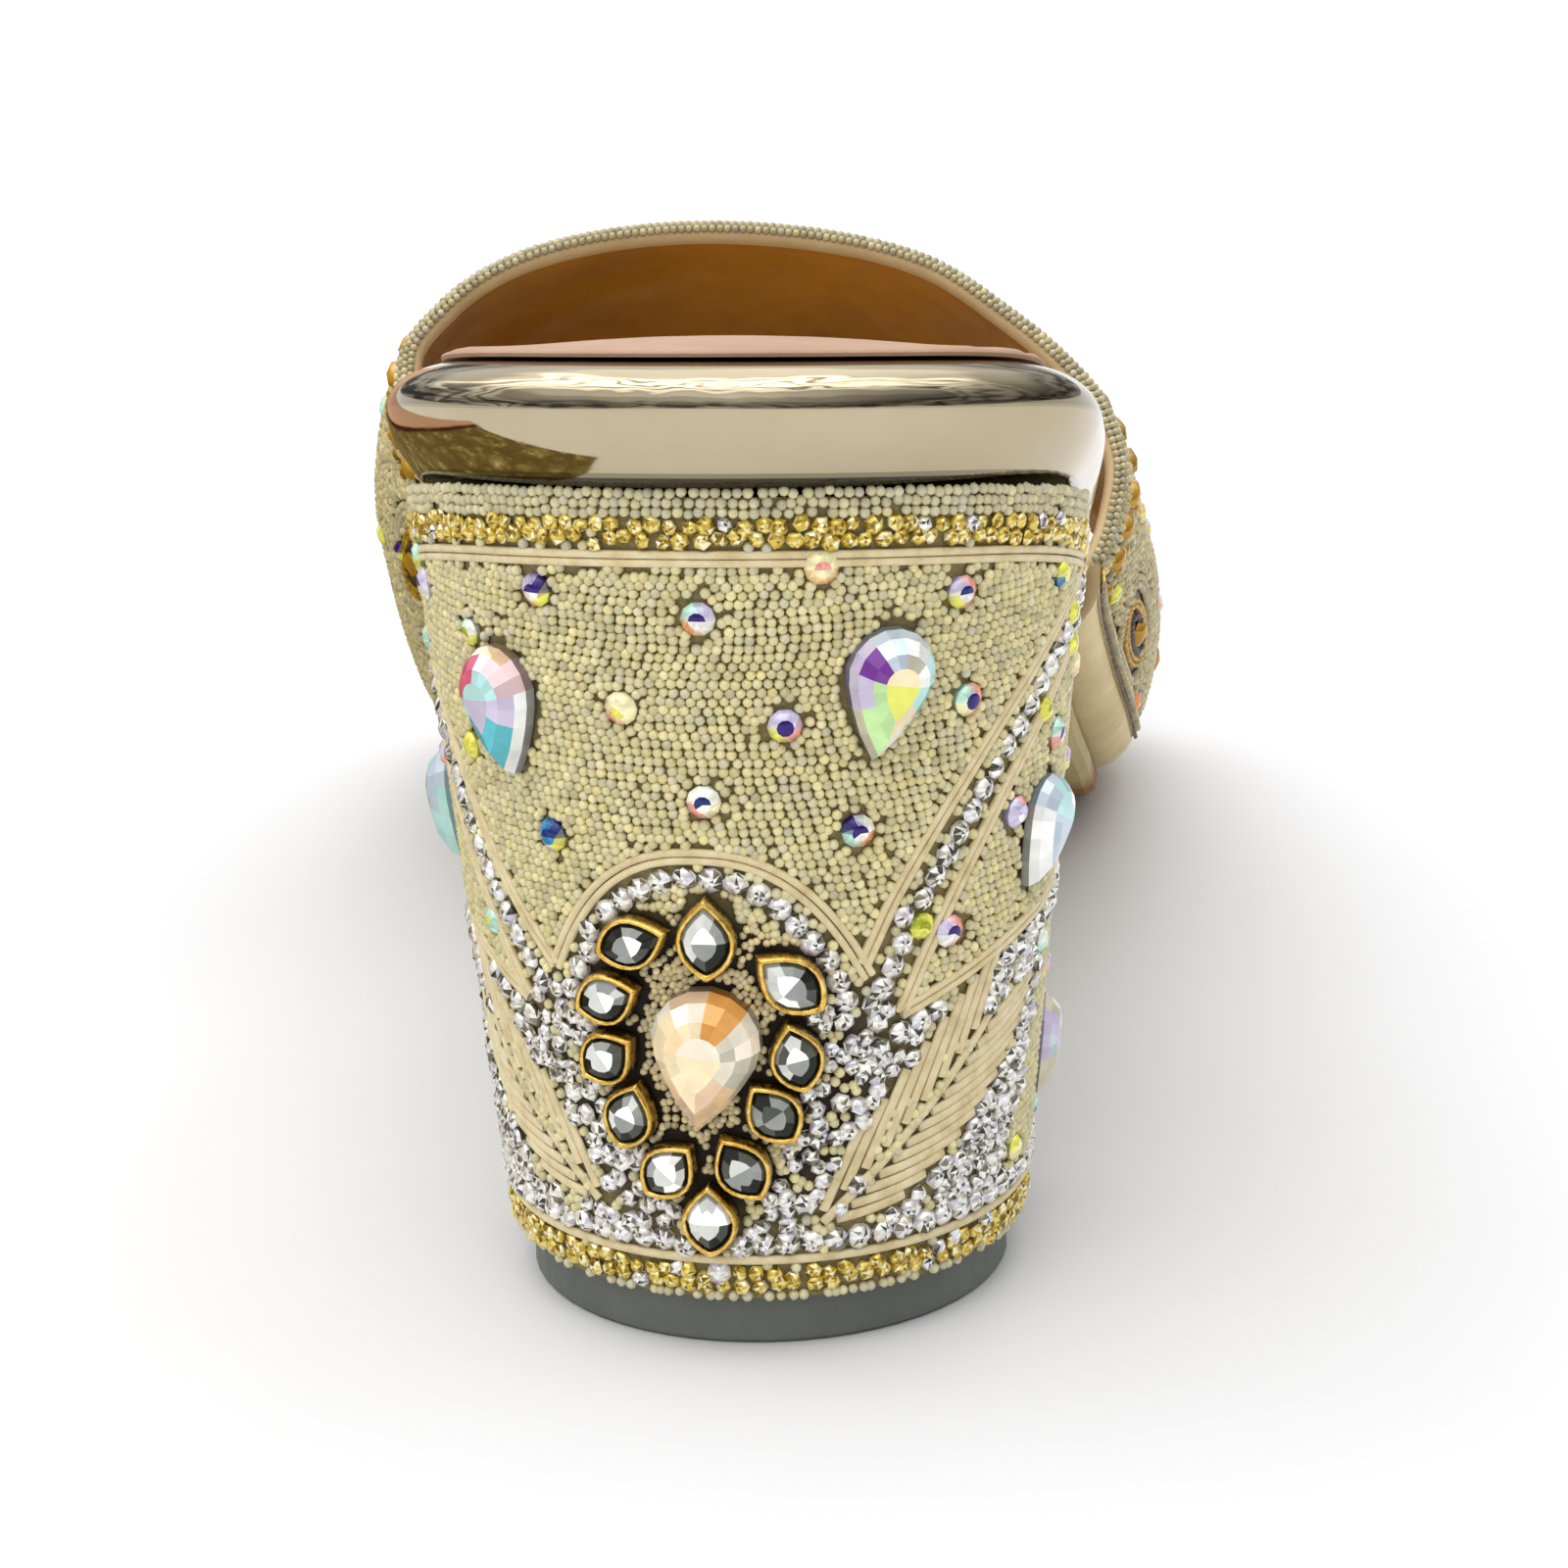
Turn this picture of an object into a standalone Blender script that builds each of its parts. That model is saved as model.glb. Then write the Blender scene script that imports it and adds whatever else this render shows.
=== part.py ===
"""Block heel mule, right foot: an open-toe slide with a broad band upper and a jewelled heel.

Frame: the origin is the centre of the heel tip's ground face, +Z is up, the toe points to -Y,
the inner (medial) side of the foot is +X and the outer (lateral) side is -X.
Sizes are in millimetres times MM. "from_back" is the distance from the back of the seat
towards the toe.
"""

import math

import bpy
import bmesh
from mathutils import Vector

MM = 0.001
GAP = 0.3 * MM

# Driving sizes of the shoe
SHOE_LENGTH = 216.0 * MM
BACK_Y = 29.0 * MM
SEAT_ROUND = 30.0 * MM
TOE_ROUND_FROM = 158.0 * MM
TOE_ROUND_POWER = 2.4

# Footbed: a row per section, in mm from the back of the seat. Top is the height of the top face,
# centre is how far the middle lies towards the medial side, half is half the widest width.
FOOTBED_ROWS = (
    # from_back, top, centre, half
    (0.0, 88.0, 0.0, 30.2),
    (20.0, 83.4, 0.0, 30.2),
    (40.0, 76.8, 0.0, 29.9),
    (60.0, 68.0, 0.6, 28.8),
    (80.0, 57.0, 2.2, 27.9),
    (100.0, 44.3, 4.8, 28.8),
    (120.0, 31.0, 7.8, 32.0),
    (140.0, 18.8, 10.4, 35.4),
    (155.0, 11.6, 11.9, 36.7),
    (170.0, 8.4, 13.0, 37.0),
    (185.0, 9.2, 13.6, 36.8),
    (200.0, 12.9, 13.9, 36.4),
    (216.0, 20.0, 14.0, 36.0),
)

# Edge of the footbed, from the top face down and round to the bottom: how far each line lies in
# from the widest outline and how deep it lies. The seat has a thick bullnose rim, and the forepart
# is a thin board with a rebate under its edge for the turned-in upper.
RIM_ROWS = (
    # seat_inset, seat_depth, fore_inset, fore_depth
    (4.8, 0.0, 0.9, 0.0),
    (2.9, 0.5, 0.3, 0.3),
    (1.2, 1.5, 0.0, 0.8),
    (0.2, 2.9, 0.0, 1.4),
    (0.0, 4.2, 0.0, 2.1),
    (0.5, 6.2, 0.25, 2.9),
    (1.8, 8.4, 0.9, 3.5),
    (3.9, 10.5, 8.5, 3.5),
    (12.0, 10.5, 9.0, 5.9),
)
RIM_BLEND = (62.0 * MM, 90.0 * MM)
RIM_DEPTH = 10.5 * MM
BOARD_DEPTH = 3.5 * MM
FORE_DEPTH = 5.9 * MM

# Insole: the cushioned sock that lies on the footbed
INSOLE_SEAT_INSET = 4.6 * MM
INSOLE_FORE_INSET = 1.6 * MM
INSOLE_EDGE = 0.8 * MM
INSOLE_DOME = 1.3 * MM
INSOLE_FORE_DOME = 0.5 * MM

# Outsole
OUTSOLE_START = 58.8 * MM
OUTSOLE_THICKNESS = 2.5 * MM
OUTSOLE_WAIST_MARGIN = -4.2 * MM
OUTSOLE_BAND_MARGIN = -2.0 * MM
OUTSOLE_TOE_MARGIN = 0.5 * MM

# Upper: one hollow band, turned in under the footbed
WALL = 2.0 * MM
FEATHER_RADIUS = 3.2 * MM
FLANGE = 6.5 * MM

# Back edge (topline) and front edge (toe opening) of the band, from the back of the seat, at the
# crown and where the band passes the footbed.
TOPLINE_CROWN = 128.0 * MM
TOPLINE_SIDE = 101.0 * MM
OPENING_CROWN = 166.0 * MM
OPENING_SIDE = 184.0 * MM

# Height of the upper's crown above the footbed, a row per section.
INSTEP_ROWS = (
    # from_back, crown
    (90.0, 46.0),
    (110.0, 47.3),
    (128.0, 46.8),
    (150.0, 42.0),
    (166.0, 37.0),
    (190.0, 31.0),
)

# Shape of the upper's section: a row per turn in degrees, from the footbed at 0 to the crown at
# 90. Each column is how far that side reaches out, as a share of its reach at the footbed.
SECTION_ROWS = (
    # turn, medial_instep, lateral_instep, medial_toe, lateral_toe
    (0.0, 1.000, 1.000, 1.000, 1.000),
    (6.0, 1.070, 1.045, 1.030, 1.025),
    (15.0, 1.130, 1.070, 1.050, 1.045),
    (27.0, 1.170, 1.000, 1.045, 1.015),
    (37.0, 1.145, 0.865, 0.990, 0.930),
    (49.0, 1.010, 0.670, 0.865, 0.775),
    (64.0, 0.775, 0.435, 0.680, 0.550),
    (90.0, 0.190, -0.190, 0.080, -0.080),
)
INSTEP_TO_TOE = (130.0 * MM, 170.0 * MM)

# Shares of the way round the upper, from the crown to the flange's end
SIDE_SHARE = 0.72
CORNER_SHARE = 0.80
FLANGE_SHARE = 0.90

# Heel block: a row for its foot and one for its top. Width and depths are half sizes from the
# widest line: rear is its distance to the back and front its distance to the breast.
HEEL_ROWS = (
    # height, half_width, widest_y, rear, front
    (0.0, 21.7, -2.4, 21.9, 17.3),
    (78.0, 28.3, -1.9, 27.0, 26.6),
)
HEEL_BREAST_TAPER = 0.05
HEEL_CORNER = 3.0 * MM
TIP_THICKNESS = 4.4 * MM
TIP_INSET = 0.7 * MM
TIP_CHAMFER = 0.4 * MM

# Jewels glued to the heel, a row each. Turn is the angle round the heel in degrees from the middle
# of its back, positive to the medial side, and past 90 it runs on along the flat side. Height is
# above the ground and lean is how far the upper end tips to the medial side. Sizes are in mm.
JEWEL_ROWS = (
    # name, shape, turn, height, lean, length, width, depth
    ("drop_centre", "pear", 4.5, 27.4, -7.0, 13.4, 9.8, 4.2),
    ("drop_back_lateral", "pear", -29.5, 58.8, -13.0, 11.8, 8.1, 3.4),
    ("drop_back_medial", "pear", 41.5, 56.3, 8.0, 11.6, 7.9, 3.4),
    ("drop_side_lateral", "pear", -72.0, 42.2, -28.0, 10.4, 7.2, 2.6),
    ("drop_side_medial", "pear", 92.0, 41.5, 12.0, 10.4, 7.2, 3.0),
    ("drop_low_lateral", "pear", -98.0, 18.6, -8.0, 9.6, 6.8, 2.2),
    ("kundan_01", "marquise", 3.0, 38.4, 0.0, 7.2, 4.9, 2.2),
    ("kundan_02", "marquise", 17.0, 37.7, -70.0, 6.8, 4.5, 2.2),
    ("kundan_03", "marquise", 23.0, 32.3, -68.0, 6.4, 4.5, 2.2),
    ("kundan_04", "marquise", 24.0, 26.9, -52.0, 6.2, 4.6, 2.2),
    ("kundan_05", "marquise", 20.3, 21.8, -18.0, 6.4, 4.6, 2.2),
    ("kundan_06", "marquise", 12.8, 17.1, -42.0, 6.2, 4.6, 2.2),
    ("kundan_07", "marquise", 5.0, 12.7, 0.0, 6.6, 4.7, 2.2),
    ("kundan_08", "marquise", -1.8, 17.7, 30.0, 6.4, 4.6, 2.2),
    ("kundan_09", "marquise", -8.2, 22.7, 35.0, 6.2, 4.6, 2.2),
    ("kundan_10", "marquise", -12.8, 27.7, 12.0, 6.4, 4.5, 2.2),
    ("kundan_11", "marquise", -12.0, 34.4, 48.0, 7.2, 4.8, 2.2),
)
# Rings of a jewel from its flat back to its top: share of the outline and share of the depth.
JEWEL_RINGS = (
    (0.94, 0.00),
    (1.00, 0.22),
    (0.78, 0.66),
    (0.42, 1.00),
)
JEWEL_LOOKS = {
    "pear": ((0.62, 0.60, 0.52), 0.08, 0.2),
    "marquise": ((0.45, 0.27, 0.07), 0.3, 1.0),
}

# Mesh resolution
END_STEPS = 9
SECTION_STEP = 7.0 * MM
ARCH_STEPS = 13
BAND_STEPS = 13
HEEL_ARC_STEPS = 28
HEEL_LEVELS = 9
JEWEL_STEPS = 9


def column(rows, index):
    """One column of a table in metres, as (from_back, value) pairs."""
    return [(row[0] * MM, row[index] * MM) for row in rows]


def smooth(pairs, place):
    """Monotone cubic curve through the pairs, held level past its ends."""
    if place <= pairs[0][0]:
        return pairs[0][1]
    if place >= pairs[-1][0]:
        return pairs[-1][1]
    slopes = [(b[1] - a[1]) / (b[0] - a[0]) for a, b in zip(pairs, pairs[1:])]
    tangents = [slopes[0]]
    for before, after in zip(slopes, slopes[1:]):
        tangents.append(0.0 if before * after <= 0.0 else 2.0 * before * after / (before + after))
    tangents.append(slopes[-1])
    index = max(i for i, pair in enumerate(pairs) if pair[0] <= place)
    start, end = pairs[index], pairs[index + 1]
    span = end[0] - start[0]
    u = (place - start[0]) / span
    return ((2 * u**3 - 3 * u**2 + 1) * start[1] + (u**3 - 2 * u**2 + u) * span * tangents[index]
            + (3 * u**2 - 2 * u**3) * end[1] + (u**3 - u**2) * span * tangents[index + 1])


def ramp(start, end, place):
    """Smooth step from 0 at start to 1 at end."""
    u = min(1.0, max(0.0, (place - start) / (end - start)))
    return u * u * (3.0 - 2.0 * u)


def footbed_top(from_back):
    return smooth(column(FOOTBED_ROWS, 1), from_back)


def footbed_centre(from_back):
    return smooth(column(FOOTBED_ROWS, 2), from_back)


def footbed_half(from_back):
    """Half the widest width, with the round seat and the round toe."""
    half = smooth(column(FOOTBED_ROWS, 3), from_back)
    if from_back < SEAT_ROUND:
        half *= math.sqrt(max(0.0, 1.0 - (1.0 - from_back / SEAT_ROUND) ** 2))
    if from_back > TOE_ROUND_FROM:
        u = (from_back - TOE_ROUND_FROM) / (SHOE_LENGTH - TOE_ROUND_FROM)
        half *= math.sqrt(max(0.0, 1.0 - u**TOE_ROUND_POWER))
    return half


def steepness(from_back):
    """How much longer a vertical cut through a plate is than the plate is thick."""
    step = 1.0 * MM
    rise = (footbed_top(from_back + step) - footbed_top(from_back - step)) / (2.0 * step)
    return math.sqrt(1.0 + rise * rise)


def seat_to_fore(from_back):
    return ramp(RIM_BLEND[0], RIM_BLEND[1], from_back)


def footbed_bottom_depth(from_back):
    blend = seat_to_fore(from_back)
    return (RIM_DEPTH * (1.0 - blend) + FORE_DEPTH * blend) * steepness(from_back)


def cut_places(first):
    """Distances from the back where the plates are cut, closer together at the round ends."""
    places = []
    if first == 0.0:
        for step in range(END_STEPS):
            places.append(SEAT_ROUND * (1.0 - math.cos(0.5 * math.pi * step / END_STEPS)))
        first = SEAT_ROUND
    count = round((TOE_ROUND_FROM - first) / SECTION_STEP)
    for step in range(count):
        places.append(first + (TOE_ROUND_FROM - first) * step / count)
    for step in range(END_STEPS + 1):
        turn = 0.5 * math.pi * step / END_STEPS
        places.append(TOE_ROUND_FROM + (SHOE_LENGTH - TOE_ROUND_FROM) * math.sin(turn))
    return places


def outline(first):
    """The widest outline as (x, from_back, out_x, out_back): medial side first, then back again."""
    places = cut_places(first)
    medial = [(footbed_centre(p) + footbed_half(p), p) for p in places]
    lateral = [(footbed_centre(p) - footbed_half(p), p) for p in reversed(places)]
    loop = medial + lateral[1:]
    if first == 0.0:
        loop = loop[:-1]
    points = []
    for index, (x, place) in enumerate(loop):
        before = loop[index - 1]
        after = loop[(index + 1) % len(loop)]
        if first > 0.0 and index == 0:
            before = (x, place)
        if first > 0.0 and index == len(loop) - 1:
            after = (x, place)
        along = Vector((after[0] - before[0], after[1] - before[1])).normalized()
        points.append((x, place, along.y, -along.x))
    return points


def make_object(name, mesh, colour, roughness, metallic):
    """An object from a bmesh, shaded smooth over soft edges, with a material of its own."""
    bmesh.ops.recalc_face_normals(mesh, faces=mesh.faces)
    data = bpy.data.meshes.new(name)
    mesh.to_mesh(data)
    mesh.free()
    data.shade_smooth()
    data.set_sharp_from_angle(angle=math.radians(35.0))
    material = bpy.data.materials.new(name)
    material.use_nodes = True
    shader = material.node_tree.nodes["Principled BSDF"]
    shader.inputs["Base Color"].default_value = (*colour, 1.0)
    shader.inputs["Roughness"].default_value = roughness
    shader.inputs["Metallic"].default_value = metallic
    data.materials.append(material)
    item = bpy.data.objects.new(name, data)
    bpy.context.scene.collection.objects.link(item)
    return item


def join_rings(mesh, rings):
    """Quads between neighbouring closed rings."""
    for upper_ring, lower_ring in zip(rings, rings[1:]):
        for index in range(len(upper_ring)):
            after = (index + 1) % len(upper_ring)
            mesh.faces.new((upper_ring[index], upper_ring[after],
                            lower_ring[after], lower_ring[index]))


def close_across(mesh, ring):
    """Close a ring with strips from its medial side to its lateral side."""
    left, right = 0, len(ring) - 1
    if len(ring) % 2 == 0:
        mesh.faces.new((ring[0], ring[1], ring[-1]))
        left = 1
    while right - left > 2:
        mesh.faces.new((ring[left], ring[left + 1], ring[right - 1], ring[right]))
        left += 1
        right -= 1
    mesh.faces.new((ring[left], ring[left + 1], ring[right]))


def plate(name, first, lines, look):
    """A plate that follows the footbed. Each line is a pair of functions of from_back: its inset
    from the outline and its height."""
    mesh = bmesh.new()
    edge = outline(first)
    rings = []
    for inset, height in lines:
        ring = []
        for x, place, out_x, out_back in edge:
            distance = inset(place)
            back = max(first, place - out_back * distance)
            ring.append(mesh.verts.new((x - out_x * distance, BACK_Y - back, height(back))))
        rings.append(ring)
    join_rings(mesh, rings)
    close_across(mesh, rings[0])
    close_across(mesh, rings[-1])
    return make_object(name, mesh, *look)


def rim_line(row):
    """Inset and height functions of one line of the footbed's edge."""
    seat_inset, seat_depth, fore_inset, fore_depth = (value * MM for value in row)

    def inset(place):
        blend = seat_to_fore(place)
        return seat_inset * (1.0 - blend) + fore_inset * blend

    def height(back):
        blend = seat_to_fore(back)
        depth = seat_depth * (1.0 - blend) + fore_depth * blend
        return footbed_top(back) - depth * steepness(back)

    return inset, height


def make_footbed():
    lines = [rim_line(row) for row in RIM_ROWS]
    return plate("footbed", 0.0, lines, ((0.53, 0.47, 0.30), 0.18, 1.0))


def insole_inset(place):
    blend = seat_to_fore(place)
    return INSOLE_SEAT_INSET * (1.0 - blend) + INSOLE_FORE_INSET * blend


def insole_line(extra_inset, rise):
    """A line of the insole: further in from its edge, and risen by a share of the dome."""
    def height(back):
        blend = seat_to_fore(back)
        dome = INSOLE_DOME * (1.0 - blend) + INSOLE_FORE_DOME * blend
        return footbed_top(back) + GAP + INSOLE_EDGE + dome * rise

    return (lambda place: insole_inset(place) + extra_inset), height


def make_insole():
    lines = [
        (lambda place: insole_inset(place) + 1.0 * MM, lambda back: footbed_top(back) + GAP),
        (lambda place: insole_inset(place) + 0.2 * MM, lambda back: footbed_top(back) + GAP),
        (insole_inset, lambda back: footbed_top(back) + GAP + 0.4 * INSOLE_EDGE),
        insole_line(0.5 * MM, 0.0),
        insole_line(2.5 * MM, 0.35),
        insole_line(6.0 * MM, 0.72),
        insole_line(11.0 * MM, 0.95),
        insole_line(17.0 * MM, 1.0),
    ]
    return plate("insole", 0.0, lines, ((0.74, 0.50, 0.37), 0.6, 0.0))


def outsole_margin(place):
    """How far the outsole reaches past the footbed's outline."""
    band = ramp(82.0 * MM, 97.0 * MM, place)
    toe = ramp(178.0 * MM, 192.0 * MM, place)
    margin = OUTSOLE_WAIST_MARGIN * (1.0 - band) + OUTSOLE_BAND_MARGIN * band
    return margin * (1.0 - toe) + OUTSOLE_TOE_MARGIN * toe


def outsole_top(back):
    return footbed_top(back) - footbed_bottom_depth(back) - GAP * steepness(back)


def outsole_bottom(back):
    """The underside, level with the ground where the ball of the foot presses."""
    return max(0.0, outsole_top(back) - OUTSOLE_THICKNESS * steepness(back))


def make_outsole():
    lines = [
        (lambda place: 0.3 * MM - outsole_margin(place), outsole_top),
        (lambda place: -outsole_margin(place), lambda back: outsole_top(back) - 0.4 * MM),
        (lambda place: 0.2 * MM - outsole_margin(place),
         lambda back: 0.25 * outsole_top(back) + 0.75 * outsole_bottom(back)),
        (lambda place: 1.2 * MM - outsole_margin(place), outsole_bottom),
    ]
    return plate("outsole", OUTSOLE_START, lines, ((0.28, 0.13, 0.04), 0.55, 0.0))


def section_reach(from_back, turn, side):
    """Share of the footbed reach at a turn, blended from the instep to the toe opening."""
    first = 1 if side > 0.0 else 2
    instep = smooth([(math.radians(row[0]), row[first]) for row in SECTION_ROWS], turn)
    toe = smooth([(math.radians(row[0]), row[first + 2]) for row in SECTION_ROWS], turn)
    blend = ramp(INSTEP_TO_TOE[0], INSTEP_TO_TOE[1], from_back)
    return instep * (1.0 - blend) + toe * blend


def upper_section(from_back, around):
    """Outer surface of the upper. Around runs from -1 at the lateral flange's end over the crown
    at 0 to 1 at the medial flange's end."""
    side = 1.0 if around >= 0.0 else -1.0
    share = abs(around)
    steep = steepness(from_back)
    top = footbed_top(from_back)
    centre = footbed_centre(from_back)
    reach = footbed_half(from_back) + GAP + WALL
    bottom = top - (BOARD_DEPTH + GAP + WALL) * steep
    if share <= SIDE_SHARE:
        turn = 0.5 * math.pi * (1.0 - share / SIDE_SHARE)
        rise = smooth(column(INSTEP_ROWS, 1), from_back)
        out = section_reach(from_back, turn, side)
        return centre + side * reach * out, top + rise * math.sin(turn)
    if share <= CORNER_SHARE:
        u = (share - SIDE_SHARE) / (CORNER_SHARE - SIDE_SHARE)
        return centre + side * reach, top + u * (bottom + FEATHER_RADIUS * steep - top)
    if share <= FLANGE_SHARE:
        turn = 0.5 * math.pi * (share - CORNER_SHARE) / (FLANGE_SHARE - CORNER_SHARE)
        width = reach - FEATHER_RADIUS * (1.0 - math.cos(turn))
        return centre + side * width, bottom + FEATHER_RADIUS * steep * (1.0 - math.sin(turn))
    u = (share - FLANGE_SHARE) / (1.0 - FLANGE_SHARE)
    width = reach - FEATHER_RADIUS - u * (FLANGE + GAP + WALL - FEATHER_RADIUS)
    return centre + side * width, bottom


def upper_point(from_back, around):
    x, height = upper_section(from_back, around)
    return Vector((x, BACK_Y - from_back, height))


def upper_inside(from_back, around):
    """The lining: the outer surface moved in by the wall's thickness."""
    step = 0.25 * MM
    turn = 0.004
    low = max(-1.0, around - turn)
    high = min(1.0, around + turn)
    along = upper_point(from_back + step, around) - upper_point(from_back - step, around)
    across = upper_point(from_back, high) - upper_point(from_back, low)
    normal = along.cross(across).normalized()
    return upper_point(from_back, around) - WALL * normal


def band_edge(crown, side, around):
    """Where an edge of the band lies: it sweeps from the crown to the footbed on both sides."""
    share = min(1.0, abs(around) / SIDE_SHARE)
    return side + (crown - side) * math.cos(0.5 * math.pi * share)


def around_places():
    """Places round the upper, from the lateral flange's end to the medial one's."""
    half = [SIDE_SHARE * step / ARCH_STEPS for step in range(1, ARCH_STEPS + 1)]
    half += [CORNER_SHARE]
    half += [CORNER_SHARE + (FLANGE_SHARE - CORNER_SHARE) * u for u in (0.33, 0.67, 1.0)]
    half += [1.0]
    return [-place for place in reversed(half)] + [0.0] + half


def make_upper():
    mesh = bmesh.new()
    sheets = ([], [])
    for around in around_places():
        back = band_edge(TOPLINE_CROWN, TOPLINE_SIDE, around)
        front = band_edge(OPENING_CROWN, OPENING_SIDE, around)
        for sheet, surface in zip(sheets, (upper_point, upper_inside)):
            places = [back + (front - back) * step / BAND_STEPS for step in range(BAND_STEPS + 1)]
            sheet.append([mesh.verts.new(surface(place, around)) for place in places])
    outer, inner = sheets
    for grid in sheets:
        for row, after in zip(grid, grid[1:]):
            for step in range(BAND_STEPS):
                mesh.faces.new((row[step], row[step + 1], after[step + 1], after[step]))
    for step in range(BAND_STEPS):
        for end in (0, -1):
            mesh.faces.new((outer[end][step], outer[end][step + 1],
                            inner[end][step + 1], inner[end][step]))
    for index in range(len(outer) - 1):
        for edge in (0, -1):
            mesh.faces.new((outer[index][edge], outer[index + 1][edge],
                            inner[index + 1][edge], inner[index][edge]))
    return make_object("upper", mesh, (0.42, 0.33, 0.16), 0.4, 0.3)


def heel_size(index, height):
    """A size of the heel block at a height, straight from its foot to its top."""
    foot, head = HEEL_ROWS
    u = height / (head[0] * MM)
    return (foot[index] + (head[index] - foot[index]) * u) * MM


def heel_outline(height, inset):
    """The heel's D-shaped section: a half ellipse behind, straight sides and a flat breast."""
    half = heel_size(1, height) - inset
    widest = heel_size(2, height)
    rear = heel_size(3, height) - inset
    front = heel_size(4, height) - inset
    corner = HEEL_CORNER
    points = []
    for step in range(HEEL_ARC_STEPS + 1):
        turn = math.pi * step / HEEL_ARC_STEPS
        points.append((half * math.cos(turn), widest + rear * math.sin(turn)))
    narrow = half * (1.0 - HEEL_BREAST_TAPER)
    lateral = [(-0.5 * (half + narrow), widest - 0.5 * (front - corner))]
    for step in range(4):
        turn = 0.5 * math.pi * step / 3.0
        lateral.append((-narrow + corner * (1.0 - math.cos(turn)),
                        widest - front + corner * (1.0 - math.sin(turn))))
    points += lateral
    points += [(-x, y) for x, y in reversed(lateral)]
    return points


def make_heel_block():
    """The block rises from the tip to the underside of the seat."""
    mesh = bmesh.new()
    foot = TIP_THICKNESS + GAP
    rings = []
    for level in range(HEEL_LEVELS + 1):
        share = level / HEEL_LEVELS
        flat = foot + share * (HEEL_ROWS[1][0] * MM - foot)
        ring = []
        for x, y in heel_outline(flat, 0.0):
            back = BACK_Y - y
            seat = footbed_top(back) - footbed_bottom_depth(back) - GAP * steepness(back)
            ring.append(mesh.verts.new((x, y, foot + share * (seat - foot))))
        rings.append(ring)
    join_rings(mesh, rings)
    close_d_section(mesh, rings[0])
    close_d_section(mesh, rings[-1])
    return make_object("heel_block", mesh, (0.38, 0.32, 0.14), 0.5, 0.2)


def close_d_section(mesh, ring):
    """Close a heel section with strips across, from the back of the arc to the breast."""
    middle = HEEL_ARC_STEPS // 2
    for step in range(len(ring) // 2):
        left = (middle + step) % len(ring)
        left_next = (middle + step + 1) % len(ring)
        right = (middle - step) % len(ring)
        right_next = (middle - step - 1) % len(ring)
        corners = [ring[right], ring[left], ring[left_next], ring[right_next]]
        unique = [v for index, v in enumerate(corners) if v not in corners[:index]]
        if len(unique) > 2:
            mesh.faces.new(unique)


def make_heel_tip():
    mesh = bmesh.new()
    rings = []
    foot = (0.0, TIP_INSET + TIP_CHAMFER)
    for height, inset in (foot, (TIP_CHAMFER, TIP_INSET), (TIP_THICKNESS, TIP_INSET)):
        ring = heel_outline(0.0, inset)
        rings.append([mesh.verts.new((x, y, height)) for x, y in ring])
    join_rings(mesh, rings)
    close_d_section(mesh, rings[0])
    close_d_section(mesh, rings[-1])
    return make_object("heel_tip", mesh, (0.14, 0.15, 0.13), 0.7, 0.0)


def heel_point(turn, height):
    """A point on the side of the heel block at a turn in degrees and a height above the ground."""
    foot = TIP_THICKNESS + GAP
    side = 1.0 if turn >= 0.0 else -1.0
    share = (height - foot) / (HEEL_ROWS[1][0] * MM - foot)
    for _ in range(4):
        flat = foot + share * (HEEL_ROWS[1][0] * MM - foot)
        half, widest = heel_size(1, flat), heel_size(2, flat)
        rear, front = heel_size(3, flat), heel_size(4, flat)
        if abs(turn) <= 90.0:
            x = half * math.sin(math.radians(turn))
            y = widest + rear * math.cos(math.radians(turn))
        else:
            forward = rear * math.radians(abs(turn) - 90.0)
            x = side * half * (1.0 - HEEL_BREAST_TAPER * forward / (front - HEEL_CORNER))
            y = widest - forward
        back = BACK_Y - y
        seat = footbed_top(back) - footbed_bottom_depth(back) - GAP * steepness(back)
        share = (height - foot) / (seat - foot)
    return Vector((x, y, height))


def heel_axes(turn, height, lean):
    """Directions on the side of the heel: across and along a leaning jewel, and straight out."""
    ahead = (heel_point(turn + 0.5, height) - heel_point(turn - 0.5, height)).normalized()
    up = heel_point(turn, height + 0.5 * MM) - heel_point(turn, height - 0.5 * MM)
    up = (up - up.dot(ahead) * ahead).normalized()
    out = up.cross(ahead)
    tip = math.radians(lean)
    return (math.cos(tip) * ahead - math.sin(tip) * up,
            math.cos(tip) * up + math.sin(tip) * ahead, out)


def jewel_outline(shape, length, width):
    """A jewel's outline, symmetrical about its length: pointed at both ends or only below."""
    right = []
    for step in range(JEWEL_STEPS + 1):
        u = step / JEWEL_STEPS
        if shape == "marquise":
            along = 1.0 - 2.0 * u
            right.append((0.5 * width * (1.0 - along**2), 0.5 * length * along))
        elif u < 0.45:
            turn = 0.5 * math.pi * u / 0.45
            right.append((0.5 * width * math.sin(turn),
                          0.5 * (length - width) + 0.5 * width * math.cos(turn)))
        else:
            down = (u - 0.45) / 0.55
            right.append((0.5 * width * (1.0 - down**1.8),
                          0.5 * (length - width) - down * (length - 0.5 * width)))
    left = [(-x, y) for x, y in reversed(right[1:-1])]
    return right + left


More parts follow.
